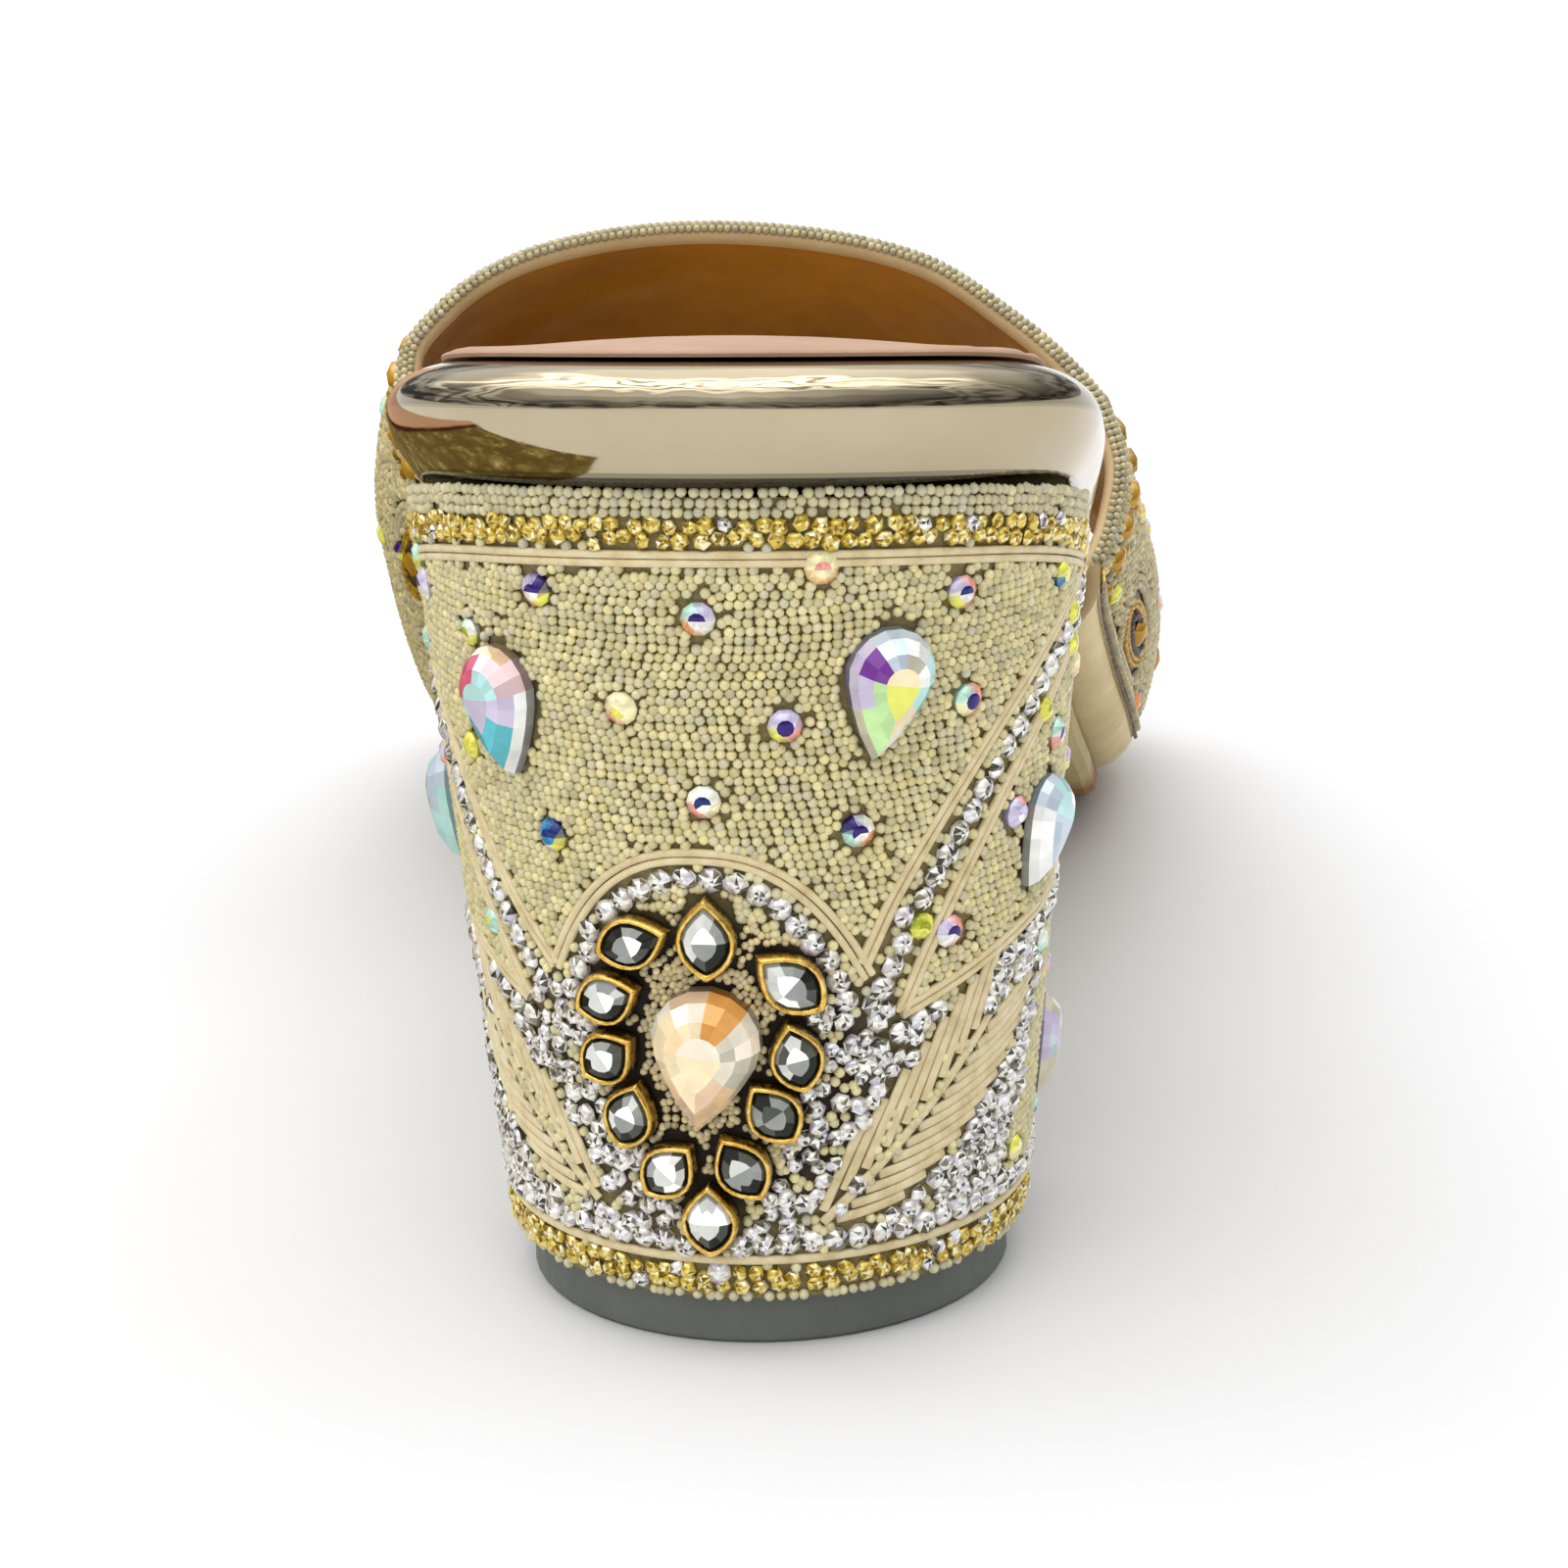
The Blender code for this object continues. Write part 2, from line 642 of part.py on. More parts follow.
def make_jewel(name, shape, turn, height, lean, length, width, depth):
    """A jewel with its flat back against the heel."""
    mesh = bmesh.new()
    across, along, out = heel_axes(turn, height * MM, lean)
    back = heel_point(turn, height * MM) + GAP * out
    rings = []
    for size, rise in JEWEL_RINGS:
        ring = []
        for x, y in jewel_outline(shape, length * MM, width * MM):
            place = back + size * (x * across + y * along) + rise * depth * MM * out
            ring.append(mesh.verts.new(place))
        rings.append(ring)
    join_rings(mesh, rings)
    mesh.faces.new(rings[0])
    mesh.faces.new(rings[-1])
    return make_object(name, mesh, *JEWEL_LOOKS[shape])


def main():
    for item in list(bpy.data.objects):
        bpy.data.objects.remove(item)
    make_heel_tip()
    make_heel_block()
    make_outsole()
    make_footbed()
    make_insole()
    make_upper()
    for row in JEWEL_ROWS:
        make_jewel(*row)


main()
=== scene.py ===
"""Block heel mule, right foot: the looks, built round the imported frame.

Lengths are in millimetres until a mesh is made. +Z is up, the toe points to -Y, the medial side of
the foot is +X. "back" is the distance from the back of the seat towards the toe.
"""

import math

import bpy
import numpy as np
from mathutils import Matrix, Vector
from mathutils.kdtree import KDTree


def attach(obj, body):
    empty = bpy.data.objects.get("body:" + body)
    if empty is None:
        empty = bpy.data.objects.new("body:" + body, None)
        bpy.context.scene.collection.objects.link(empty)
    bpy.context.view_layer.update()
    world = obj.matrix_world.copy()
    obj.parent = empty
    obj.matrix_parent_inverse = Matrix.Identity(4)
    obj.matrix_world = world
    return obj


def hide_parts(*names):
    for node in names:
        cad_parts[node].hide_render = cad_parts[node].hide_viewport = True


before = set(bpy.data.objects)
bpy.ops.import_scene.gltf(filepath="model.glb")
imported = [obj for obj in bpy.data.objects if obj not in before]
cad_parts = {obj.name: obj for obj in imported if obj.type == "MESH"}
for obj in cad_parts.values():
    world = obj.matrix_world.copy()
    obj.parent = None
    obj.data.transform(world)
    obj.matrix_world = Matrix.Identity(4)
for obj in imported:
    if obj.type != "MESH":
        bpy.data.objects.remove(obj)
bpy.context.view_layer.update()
RANDOM = np.random.default_rng(11)

MM = 0.001
# the clearance between neighbouring solids
GAP = 0.3
# the back of the seat
BACK_Y = 29.0

# ---------------------------------------------------------------- the shoe's own sizes
SHOE_LENGTH = 216.0
SEAT_ROUND = 30.0
TOE_ROUND_FROM = 158.0
TOE_ROUND_POWER = 2.4
FOOTBED_ROWS = (
    # back, top, centre, half
    (0.0, 88.0, 0.0, 30.2),
    (20.0, 83.4, 0.0, 30.2),
    (40.0, 76.8, 0.0, 29.9),
    (60.0, 68.0, 0.6, 28.8),
    (80.0, 57.0, 2.2, 27.9),
    (100.0, 44.3, 4.8, 28.8),
    (120.0, 31.0, 7.8, 32.0),
    (140.0, 18.8, 10.4, 35.4),
    (155.0, 11.6, 11.9, 36.7),
    (170.0, 8.4, 13.0, 37.0),
    (185.0, 9.2, 13.6, 36.8),
    (200.0, 12.9, 13.9, 36.4),
    (216.0, 20.0, 14.0, 36.0),
)
RIM_ROWS = (
    # line, seat_inset, seat_depth, fore_inset, fore_depth
    (0.0, 4.8, 0.0, 0.9, 0.0),
    (1.0, 2.9, 0.5, 0.3, 0.3),
    (2.0, 1.2, 1.5, 0.0, 0.8),
    (3.0, 0.2, 2.9, 0.0, 1.4),
    (4.0, 0.0, 4.2, 0.0, 2.1),
    (5.0, 0.5, 6.2, 0.25, 2.9),
    (6.0, 1.8, 8.4, 0.9, 3.5),
    (7.0, 3.9, 10.5, 8.5, 3.5),
    (8.0, 12.0, 10.5, 9.0, 5.9),
)
RIM_BLEND = (62.0, 90.0)
RIM_DEPTH = 10.5
BOARD_DEPTH = 3.5
FORE_DEPTH = 5.9

WALL = 2.0
FEATHER_RADIUS = 5.2
FLANGE = 6.5
TOPLINE_CROWN = 128.0
TOPLINE_SIDE = 101.0
OPENING_CROWN = 166.0
OPENING_SIDE = 184.0
INSTEP_ROWS = (
    # back, crown
    (90.0, 46.0),
    (110.0, 47.3),
    (128.0, 46.8),
    (150.0, 42.0),
    (166.0, 37.0),
    (190.0, 31.0),
)
SECTION_ROWS = (
    # turn, medial_instep, lateral_instep, medial_toe, lateral_toe
    (0.0, 1.000, 1.000, 1.000, 1.000),
    (6.0, 1.070, 1.045, 1.030, 1.025),
    (15.0, 1.130, 1.070, 1.050, 1.045),
    (27.0, 1.170, 1.000, 1.045, 1.015),
    (37.0, 1.145, 0.865, 0.990, 0.930),
    (49.0, 1.010, 0.670, 0.865, 0.775),
    (64.0, 0.775, 0.435, 0.680, 0.550),
    (90.0, 0.190, -0.190, 0.080, -0.080),
)
INSTEP_TO_TOE = (130.0, 170.0)
SIDE_SHARE = 0.72
CORNER_SHARE = 0.80
FLANGE_SHARE = 0.90

HEEL_ROWS = (
    # height, half_width, widest_y, rear, front
    (0.0, 21.7, -2.4, 21.9, 17.3),
    (78.0, 28.3, -1.9, 27.0, 26.6),
)
HEEL_BREAST_TAPER = 0.05
HEEL_CORNER = 3.0
HEEL_FOOT = 4.7

AXIS_TURN = 4.5
JEWEL_ROWS = (
    # node, turn, height, lean, length, width, depth
    ("drop_centre", AXIS_TURN, 27.4, -7.0, 13.4, 9.8, 4.2),
    ("drop_back_lateral", -29.5, 58.8, -13.0, 11.8, 8.1, 3.4),
    ("drop_back_medial", 41.5, 56.3, 8.0, 11.6, 7.9, 3.4),
    ("drop_side_lateral", -72.0, 42.2, -28.0, 10.4, 7.2, 2.6),
    ("drop_side_medial", 92.0, 41.5, 12.0, 10.4, 7.2, 3.0),
    ("drop_low_lateral", -98.0, 18.6, -8.0, 9.6, 6.8, 2.2),
    ("kundan_01", 3.0, 38.4, 0.0, 7.2, 4.9, 2.2),
    ("kundan_02", 17.0, 37.7, -70.0, 6.8, 4.5, 2.2),
    ("kundan_03", 23.0, 32.3, -68.0, 6.4, 4.5, 2.2),
    ("kundan_04", 24.0, 26.9, -52.0, 6.2, 4.6, 2.2),
    ("kundan_05", 20.3, 21.8, -18.0, 6.4, 4.6, 2.2),
    ("kundan_06", 12.8, 17.1, -42.0, 6.2, 4.6, 2.2),
    ("kundan_07", 5.0, 12.7, 0.0, 6.6, 4.7, 2.2),
    ("kundan_08", -1.8, 17.7, 30.0, 6.4, 4.6, 2.2),
    ("kundan_09", -8.2, 22.7, 35.0, 6.2, 4.6, 2.2),
    ("kundan_10", -12.8, 27.7, 12.0, 6.4, 4.5, 2.2),
    ("kundan_11", -12.0, 34.4, 48.0, 7.2, 4.8, 2.2),
)


# ---------------------------------------------------------------- curves and surfaces
def smooth(rows, index, place):
    """Monotone cubic curve through one column of a table, held level past its ends."""
    xs = np.array([row[0] for row in rows], float)
    ys = np.array([row[index] for row in rows], float)
    place = np.clip(np.asarray(place, float), xs[0], xs[-1])
    slopes = np.diff(ys) / np.diff(xs)
    product = slopes[:-1] * slopes[1:]
    total = np.where(product > 0.0, slopes[:-1] + slopes[1:], 1.0)
    inner = np.where(product > 0.0, 2.0 * product / total, 0.0)
    tangents = np.concatenate([slopes[:1], inner, slopes[-1:]])
    at = np.clip(np.searchsorted(xs, place, side="right") - 1, 0, len(xs) - 2)
    span = xs[at + 1] - xs[at]
    u = (place - xs[at]) / span
    return ((2 * u**3 - 3 * u**2 + 1) * ys[at] + (u**3 - 2 * u**2 + u) * span * tangents[at]
            + (3 * u**2 - 2 * u**3) * ys[at + 1] + (u**3 - u**2) * span * tangents[at + 1])


def ramp(start, end, place):
    """Smooth step from 0 at start to 1 at end."""
    u = np.clip((np.asarray(place, float) - start) / (end - start), 0.0, 1.0)
    return u * u * (3.0 - 2.0 * u)


def unit(vectors):
    return vectors / np.maximum(np.linalg.norm(vectors, axis=-1, keepdims=True), 1e-9)


def footbed_top(back):
    return smooth(FOOTBED_ROWS, 1, back)


def footbed_centre(back):
    return smooth(FOOTBED_ROWS, 2, back)


def footbed_half(back):
    back = np.asarray(back, float)
    seat = np.clip(1.0 - (1.0 - back / SEAT_ROUND) ** 2, 0.0, 1.0)
    toe = np.clip((back - TOE_ROUND_FROM) / (SHOE_LENGTH - TOE_ROUND_FROM), 0.0, 1.0)
    round_seat = np.where(back < SEAT_ROUND, np.sqrt(seat), 1.0)
    return smooth(FOOTBED_ROWS, 3, back) * round_seat * np.sqrt(1.0 - toe**TOE_ROUND_POWER)


def steepness(back):
    rise = (footbed_top(back + 1.0) - footbed_top(back - 1.0)) / 2.0
    return np.sqrt(1.0 + rise * rise)


def seat_to_fore(seat, fore, back):
    """A size that passes from one value at the seat to another at the forepart."""
    blend = ramp(*RIM_BLEND, back)
    return seat * (1.0 - blend) + fore * blend


def footbed_bottom_depth(back):
    return seat_to_fore(RIM_DEPTH, FORE_DEPTH, back) * steepness(back)


def with_outward(loop):
    """A loop of (x, back) places with its outward directions beside them."""
    along = unit(np.roll(loop, -1, 0) - np.roll(loop, 1, 0))
    return np.stack([loop[:, 0], loop[:, 1], along[:, 1], -along[:, 0]], 1)


def outline(step):
    """The footbed's widest outline as (x, back, out_x, out_back), medial side first."""
    ends = max(8, round(42.0 / step))
    turn = 0.5 * math.pi * np.arange(ends) / ends
    count = round((TOE_ROUND_FROM - SEAT_ROUND) / step)
    middle = SEAT_ROUND + (TOE_ROUND_FROM - SEAT_ROUND) * np.arange(count) / count
    toe_turn = 0.5 * math.pi * np.arange(ends + 1) / ends
    toe = TOE_ROUND_FROM + (SHOE_LENGTH - TOE_ROUND_FROM) * np.sin(toe_turn)
    places = np.concatenate([SEAT_ROUND * (1.0 - np.cos(turn)), middle, toe])
    centre, half = footbed_centre(places), footbed_half(places)
    lateral = np.stack([centre - half, places], 1)[-2:0:-1]
    return with_outward(np.concatenate([np.stack([centre + half, places], 1), lateral]))


def section_reach(back, turn, side):
    """Share of the footbed reach at a turn, blended from the instep to the toe opening."""
    shares = [smooth(SECTION_ROWS, column, np.degrees(turn)) for column in (1, 2, 3, 4)]
    blend = ramp(*INSTEP_TO_TOE, back)
    return np.where(side > 0.0, shares[0] * (1.0 - blend) + shares[2] * blend,
                    shares[1] * (1.0 - blend) + shares[3] * blend)


def upper_point(back, around):
    """Outer surface of the upper, from -1 at the lateral flange over the crown at 0 to 1."""
    back, around = np.broadcast_arrays(np.asarray(back, float), np.asarray(around, float))
    side = np.where(around >= 0.0, 1.0, -1.0)
    share = np.abs(around)
    steep = steepness(back)
    top = footbed_top(back)
    reach = footbed_half(back) + GAP + WALL
    bottom = top - (BOARD_DEPTH + GAP + WALL) * steep
    turn = 0.5 * math.pi * (1.0 - np.clip(share / SIDE_SHARE, 0.0, 1.0))
    wide = reach * section_reach(back, turn, side)
    high = top + smooth(INSTEP_ROWS, 1, back) * np.sin(turn)
    u = np.clip((share - SIDE_SHARE) / (CORNER_SHARE - SIDE_SHARE), 0.0, 1.0)
    high = np.where(share > SIDE_SHARE, top + u * (bottom + FEATHER_RADIUS * steep - top), high)
    bend = 0.5 * math.pi * np.clip((share - CORNER_SHARE) / (FLANGE_SHARE - CORNER_SHARE), 0.0, 1.0)
    below = share > CORNER_SHARE
    wide = np.where(below, reach - FEATHER_RADIUS * (1.0 - np.cos(bend)), wide)
    high = np.where(below, bottom + FEATHER_RADIUS * steep * (1.0 - np.sin(bend)), high)
    u = np.clip((share - FLANGE_SHARE) / (1.0 - FLANGE_SHARE), 0.0, 1.0)
    wide = wide - u * (FLANGE + GAP + WALL - FEATHER_RADIUS)
    return np.stack([footbed_centre(back) + side * wide, BACK_Y - back, high], -1)


def upper_normal(back, around):
    back, around = np.broadcast_arrays(np.asarray(back, float), np.asarray(around, float))
    along = upper_point(back + 0.25, around) - upper_point(back - 0.25, around)
    low, high = np.maximum(-1.0, around - 0.004), np.minimum(1.0, around + 0.004)
    return unit(np.cross(along, upper_point(back, high) - upper_point(back, low)))


def band_edge(crown, side, around):
    share = np.minimum(1.0, np.abs(around) / SIDE_SHARE)
    return side + (crown - side) * np.cos(0.5 * math.pi * share)


def topline(around):
    return band_edge(TOPLINE_CROWN, TOPLINE_SIDE, around)


def toe_opening(around):
    return band_edge(OPENING_CROWN, OPENING_SIDE, around)


def heel_size(index, height):
    u = height / HEEL_ROWS[1][0]
    return HEEL_ROWS[0][index] + (HEEL_ROWS[1][index] - HEEL_ROWS[0][index]) * u


def heel_section(around, height):
    """The heel's D section: 0 behind, 1 at the end of the round back, 2 at the corner, 3 past it
    and 4 at the middle of the breast, positive to the medial side."""
    share = np.abs(around)
    half, widest = heel_size(1, height), heel_size(2, height)
    rear, front = heel_size(3, height), heel_size(4, height)
    narrow = half * (1.0 - HEEL_BREAST_TAPER)
    turn = 0.5 * math.pi * np.minimum(share, 1.0)
    x, y = half * np.sin(turn), widest + rear * np.cos(turn)
    u = np.clip(share - 1.0, 0.0, 1.0)
    x = np.where(share > 1.0, half + (narrow - half) * u, x)
    y = np.where(share > 1.0, widest - u * (front - HEEL_CORNER), y)
    bend = 0.5 * math.pi * np.clip(share - 2.0, 0.0, 1.0)
    x = np.where(share > 2.0, narrow - HEEL_CORNER * (1.0 - np.cos(bend)), x)
    y = np.where(share > 2.0, widest - front + HEEL_CORNER * (1.0 - np.sin(bend)), y)
    x = np.where(share > 3.0, (narrow - HEEL_CORNER) * (4.0 - share), x)
    return np.where(around >= 0.0, x, -x), y


def seat_under(y):
    """Height of the heel's top, under the seat."""
    back = BACK_Y - y
    return footbed_top(back) - footbed_bottom_depth(back) - GAP * steepness(back)


def heel_point(around, height):
    around, height = np.broadcast_arrays(np.asarray(around, float), np.asarray(height, float))
    span = HEEL_ROWS[1][0] - HEEL_FOOT
    share = (height - HEEL_FOOT) / span
    for _ in range(4):
        x, y = heel_section(around, HEEL_FOOT + share * span)
        share = (height - HEEL_FOOT) / (seat_under(y) - HEEL_FOOT)
    return np.stack([x, y, height], -1)


def heel_normal(around, height):
    around, height = np.broadcast_arrays(np.asarray(around, float), np.asarray(height, float))
    ahead = heel_point(around + 0.005, height) - heel_point(around - 0.005, height)
    up = heel_point(around, height + 0.3) - heel_point(around, height - 0.3)
    return unit(np.cross(up, ahead))


def heel_around(turn, height):
    """A turn in degrees round the heel as a place round its section."""
    turn, height = np.broadcast_arrays(np.asarray(turn, float), np.asarray(height, float))
    past = np.maximum(np.abs(turn) - 90.0, 0.0)
    forward = heel_size(3, height) * np.radians(past)
    flat = heel_size(4, height) - HEEL_CORNER
    return np.sign(turn) * (np.minimum(np.abs(turn), 90.0) / 90.0 + forward / flat)


def degree_length(height):
    """Millimetres along the heel for a degree of turn."""
    return math.radians(1.0) * 0.5 * (heel_size(1, height) + heel_size(3, height))


# ---------------------------------------------------------------- meshes
# the most in one piece
MOST_TRIANGLES = 190000


def link_object(name, data):
    item = bpy.data.objects.new(name, data)
    bpy.context.scene.collection.objects.link(item)
    return item


def add_mesh(name, points, faces, materials, tints=None, face_material=None, smoothed=True, *,
             replaces=(), sharp=None):
    """A mesh piece that rides on the shoe. Tints are a colour per face."""
    data = bpy.data.meshes.new(name)
    points = np.asarray(points, float) * MM
    if isinstance(faces, np.ndarray):
        data.vertices.add(len(points))
        data.vertices.foreach_set("co", points.ravel())
        data.loops.add(faces.size)
        data.loops.foreach_set("vertex_index", faces.ravel())
        data.polygons.add(len(faces))
        data.polygons.foreach_set("loop_start", np.arange(len(faces)) * faces.shape[1])
        data.update(calc_edges=True)
    else:
        data.from_pydata(points.tolist(), [], [list(face) for face in faces])
    data.validate()
    for material in materials:
        data.materials.append(material)
    if face_material is not None:
        data.polygons.foreach_set("material_index", np.asarray(face_material, np.int32))
    data.polygons.foreach_set("use_smooth", [smoothed] * len(data.polygons))
    if tints is not None:
        counts = np.zeros(len(data.polygons), np.int32)
        data.polygons.foreach_get("loop_total", counts)
        rgba = np.ones((len(counts), 4))
        rgba[:, :3] = tints
        layer = data.color_attributes.new("Tint", "FLOAT_COLOR", "CORNER")
        layer.data.foreach_set("color", np.repeat(rgba, counts, axis=0).ravel())
    if sharp is not None:
        data.set_sharp_from_angle(angle=math.radians(sharp))
    piece = link_object(name, data)
    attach(piece, "root")
    if replaces:
        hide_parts(*replaces)
    return piece


def ring_faces(rings, count):
    """Quads between closed rings of count points each, stored one ring after another."""
    index = np.arange(count)
    after = (index + 1) % count
    faces = []
    for ring in range(rings - 1):
        low, high = ring * count, (ring + 1) * count
        faces.append(np.stack([low + index, low + after, high + after, high + index], 1))
    return np.concatenate(faces)


def axes_from(normals, spin=None):
    """Two directions across each normal, turned by spin radians."""
    side = unit(np.cross(np.array([0.0, 0.0, 1.0]), normals) + 1e-6)
    rise = np.cross(normals, side)
    if spin is None:
        return side, rise
    c, s = np.cos(spin)[:, None], np.sin(spin)[:, None]
    return c * side + s * rise, c * rise - s * side


def scatter(name, shape, points, normals, sizes, material, tints, spin=None):
    """Copies of a small shape joined into pieces. Tints are a colour per copy, or per face."""
    verts, faces = shape
    if spin is None:
        spin = RANDOM.uniform(0.0, 2.0 * math.pi, len(points))
    side, rise = axes_from(normals, spin)
    sizes = np.asarray(sizes, float)
    if sizes.ndim == 1:
        sizes = np.repeat(sizes[:, None], 3, 1)
    local = verts[None, :, :] * sizes[:, None, :]
    placed = (points[:, None, :] + local[:, :, :1] * side[:, None, :]
              + local[:, :, 1:2] * rise[:, None, :] + local[:, :, 2:] * normals[:, None, :])
    tints = np.asarray(tints, float)
    if tints.ndim == 2:
        tints = np.repeat(tints[:, None, :], len(faces), 1)
    batch = max(1, MOST_TRIANGLES // (len(faces) * (faces.shape[1] - 2)))
    for part, start in enumerate(range(0, len(points), batch)):
        chunk = placed[start:start + batch]
        offset = np.arange(len(chunk))[:, None, None] * len(verts)
        label = name if len(points) <= batch else f"{name}_{part + 1}"
        add_mesh(label, chunk.reshape(-1, 3), (faces[None] + offset).reshape(-1, faces.shape[1]),
                 [material], tints[start:start + batch].reshape(-1, 3))


def turned_shape(rings, sides, tip):
    """The points of rings of (radius, height), then a point at the tip's height."""
    turn = 2.0 * math.pi * np.arange(sides) / sides
    verts = [np.stack([r * np.cos(turn), r * np.sin(turn), np.full(sides, z)], 1) for r, z in rings]
    return np.concatenate(verts + [np.array([[0.0, 0.0, tip]])])


def bead_shape(sides):
    """A round bead seen from above: a little over half a ball."""
    quads = ring_faces(2, sides)
    index = np.arange(sides)
    cap = np.stack([sides + index, sides + (index + 1) % sides, np.full(sides, 2 * sides)], 1)
    return (turned_shape([(0.97, -0.15), (0.80, 0.58)], sides, 0.95),
            np.concatenate([quads[:, [0, 1, 2]], quads[:, [0, 2, 3]], cap]))


def stone_shape(sides, table):
    """A round cut stone: a table in wedges, a ring of crown facets and a girdle."""
    a = np.arange(sides)
    b = (a + 1) % sides
    corners = ((np.full(sides, 3 * sides), a, b), (a, sides + a, sides + b), (a, sides + b, b),
               (sides + a, 2 * sides + a, 2 * sides + b), (sides + a, 2 * sides + b, sides + b))
    return (turned_shape([(table, 0.50), (1.0, 0.10), (0.94, -0.30)], sides, 0.53),
            np.concatenate([np.stack(facet, 1) for facet in corners]))


def sweep(path, normals, width, height):
    """Points and faces of a strip laid along a path on a surface, with a soft rectangular section."""
    sides = 8
    tangent = unit(np.gradient(path, axis=0))
    across = unit(np.cross(tangent, normals))
    turn = 2.0 * math.pi * (np.arange(sides) + 0.5) / sides
    wide = 0.5 * width * np.sign(np.cos(turn)) * np.abs(np.cos(turn)) ** 0.7
    high = 0.5 * height * np.sign(np.sin(turn)) * np.abs(np.sin(turn)) ** 0.7
    rings = (path[:, None, :] + wide[None, :, None] * across[:, None]
             + high[None, :, None] * normals[:, None])
    faces = [list(face) for face in ring_faces(len(path), sides)]
    faces.append(list(range(sides)))
    faces.append([(len(path) - 1) * sides + i for i in reversed(range(sides))])
    return rings.reshape(-1, 3), faces


def length_along(points):
    """The distance from the first point to each point of a line."""
    return np.concatenate([[0.0], np.cumsum(np.linalg.norm(np.diff(points, axis=0), axis=1))])


def even(line, step):
    """Places about a step apart along a dense line of places on the heel."""
    length = length_along(heel_point(line[:, 0], line[:, 1]))
    want = np.linspace(0.0, length[-1], max(2, round(length[-1] / step) + 1))
    return np.interp(want, length, line[:, 0]), np.interp(want, length, line[:, 1])


def through(knots, step):
    """Places about a step apart along a curve through knots of (turn, height) on the heel."""
    knots = np.asarray(knots, float)
    rows = np.stack([np.linspace(0.0, 1.0, len(knots)), heel_around(knots[:, 0], knots[:, 1]),
                     knots[:, 1]], 1)
    u = np.linspace(0.0, 1.0, 400)
    return even(np.stack([smooth(rows, 1, u), smooth(rows, 2, u)], 1), step)


def tree_of(points):
    """A search tree that finds near points."""
    tree = KDTree(len(points))
    for index, point in enumerate(points):
        tree.insert(point, index)
    tree.balance()
    return tree


# ---------------------------------------------------------------- materials
class Look:
    """A node tree in the making, with its shader and the steps that the looks share."""

    def __init__(self, owner, shader, **values):
        owner.use_nodes = True
        self.owner, self.tree = owner, owner.node_tree
        self.shader = self.tree.nodes[shader]
        self.coordinates = self.node("ShaderNodeTexCoord").outputs
        self.place = self.coordinates["Object"]
        self.put(**values)

    def join(self, value, socket):
        """Feeds a socket from another one, or sets it to a number or a colour."""
        if isinstance(value, bpy.types.NodeSocket):
            self.tree.links.new(value, socket)
        elif socket.type == "RGBA":
            socket.default_value = (*value, 1.0)
        else:
            socket.default_value = value

    def put(self, **values):
        """Sets the shader's sockets, named with _ for a space."""
        for key, value in values.items():
            self.join(value, self.shader.inputs[key.replace("_", " ")])

    def node(self, kind, **settings):
        made = self.tree.nodes.new(kind)
        for key, value in settings.items():
            label = key.replace("_", " ")
            if label in made.inputs:
                self.join(value, made.inputs[label])
            else:
                setattr(made, key, value)
        return made

    def noise(self, scale, detail=3.0, roughness=0.55, stretch=None, place=None):
        """Noise over the object's own space. Scale is the number of spots in a metre."""
        source = place or self.place
        if stretch:
            source = self.node("ShaderNodeMapping", Vector=source, Scale=stretch).outputs["Vector"]
        return self.node("ShaderNodeTexNoise", Vector=source, Scale=scale, Detail=detail,
                         Roughness=roughness).outputs["Fac"]

    def colours(self, factor, stops):
        """A colour ramp: stops are (place, colour)."""
        made = self.node("ShaderNodeValToRGB", Fac=factor)
        band = made.color_ramp
        while len(band.elements) < len(stops):
            band.elements.new(0.5)
        for element, (where, colour) in zip(band.elements, stops):
            element.position = where
            element.color = (*colour, 1.0)
        return made.outputs["Color"]

    def mixed(self, factor, first, second, blend="MIX"):
        made = self.node("ShaderNodeMix", data_type="RGBA", blend_type=blend)
        for index, value in zip(MIX_SOCKETS, (factor, first, second)):
            self.join(value, made.inputs[index])
        return made.outputs[MIX_RESULT]

    def levels(self, factor, low, high, to_low=0.0, to_high=1.0):
        return self.node("ShaderNodeMapRange", Value=factor, From_Min=low, From_Max=high, To_Min=to_low,
                         To_Max=to_high).outputs["Result"]

    def maths(self, operation, *values):
        made = self.node("ShaderNodeMath", operation=operation)
        for socket, value in zip(made.inputs, values):
            self.join(value, socket)
        return made.outputs[0]

    def axis(self, name, place=None):
        return self.node("ShaderNodeSeparateXYZ", Vector=place or self.place).outputs[name]

    def tint(self):
        return self.node("ShaderNodeVertexColor", layer_name="Tint").outputs["Color"]

    def tinted(self, colour):
        return self.mixed(1.0, self.tint(), colour, "MULTIPLY")

    def bump(self, height, strength, distance):
        """Adds bumps over those that the shader has. Distance is in millimetres."""
        made = self.node("ShaderNodeBump", Height=height, Strength=strength, Distance=distance * MM)
        normal = self.shader.inputs["Normal"]
        if normal.is_linked:
            self.join(normal.links[0].from_socket, made.inputs["Normal"])
        self.join(made.outputs["Normal"], normal)

    def along_shoe(self, start, end):
        """0 before start and 1 after end, by the distance from the back of the seat."""
        return self.levels(self.axis("Y"), (BACK_Y - start) * MM, (BACK_Y - end) * MM)


# the colour sockets of Blender's mix node, which share their names with the other kinds
MIX_SOCKETS = (0, 6, 7)
MIX_RESULT = 2


def new_look(name, **values):
    return Look(bpy.data.materials.new(name), "Principled BSDF", **values)


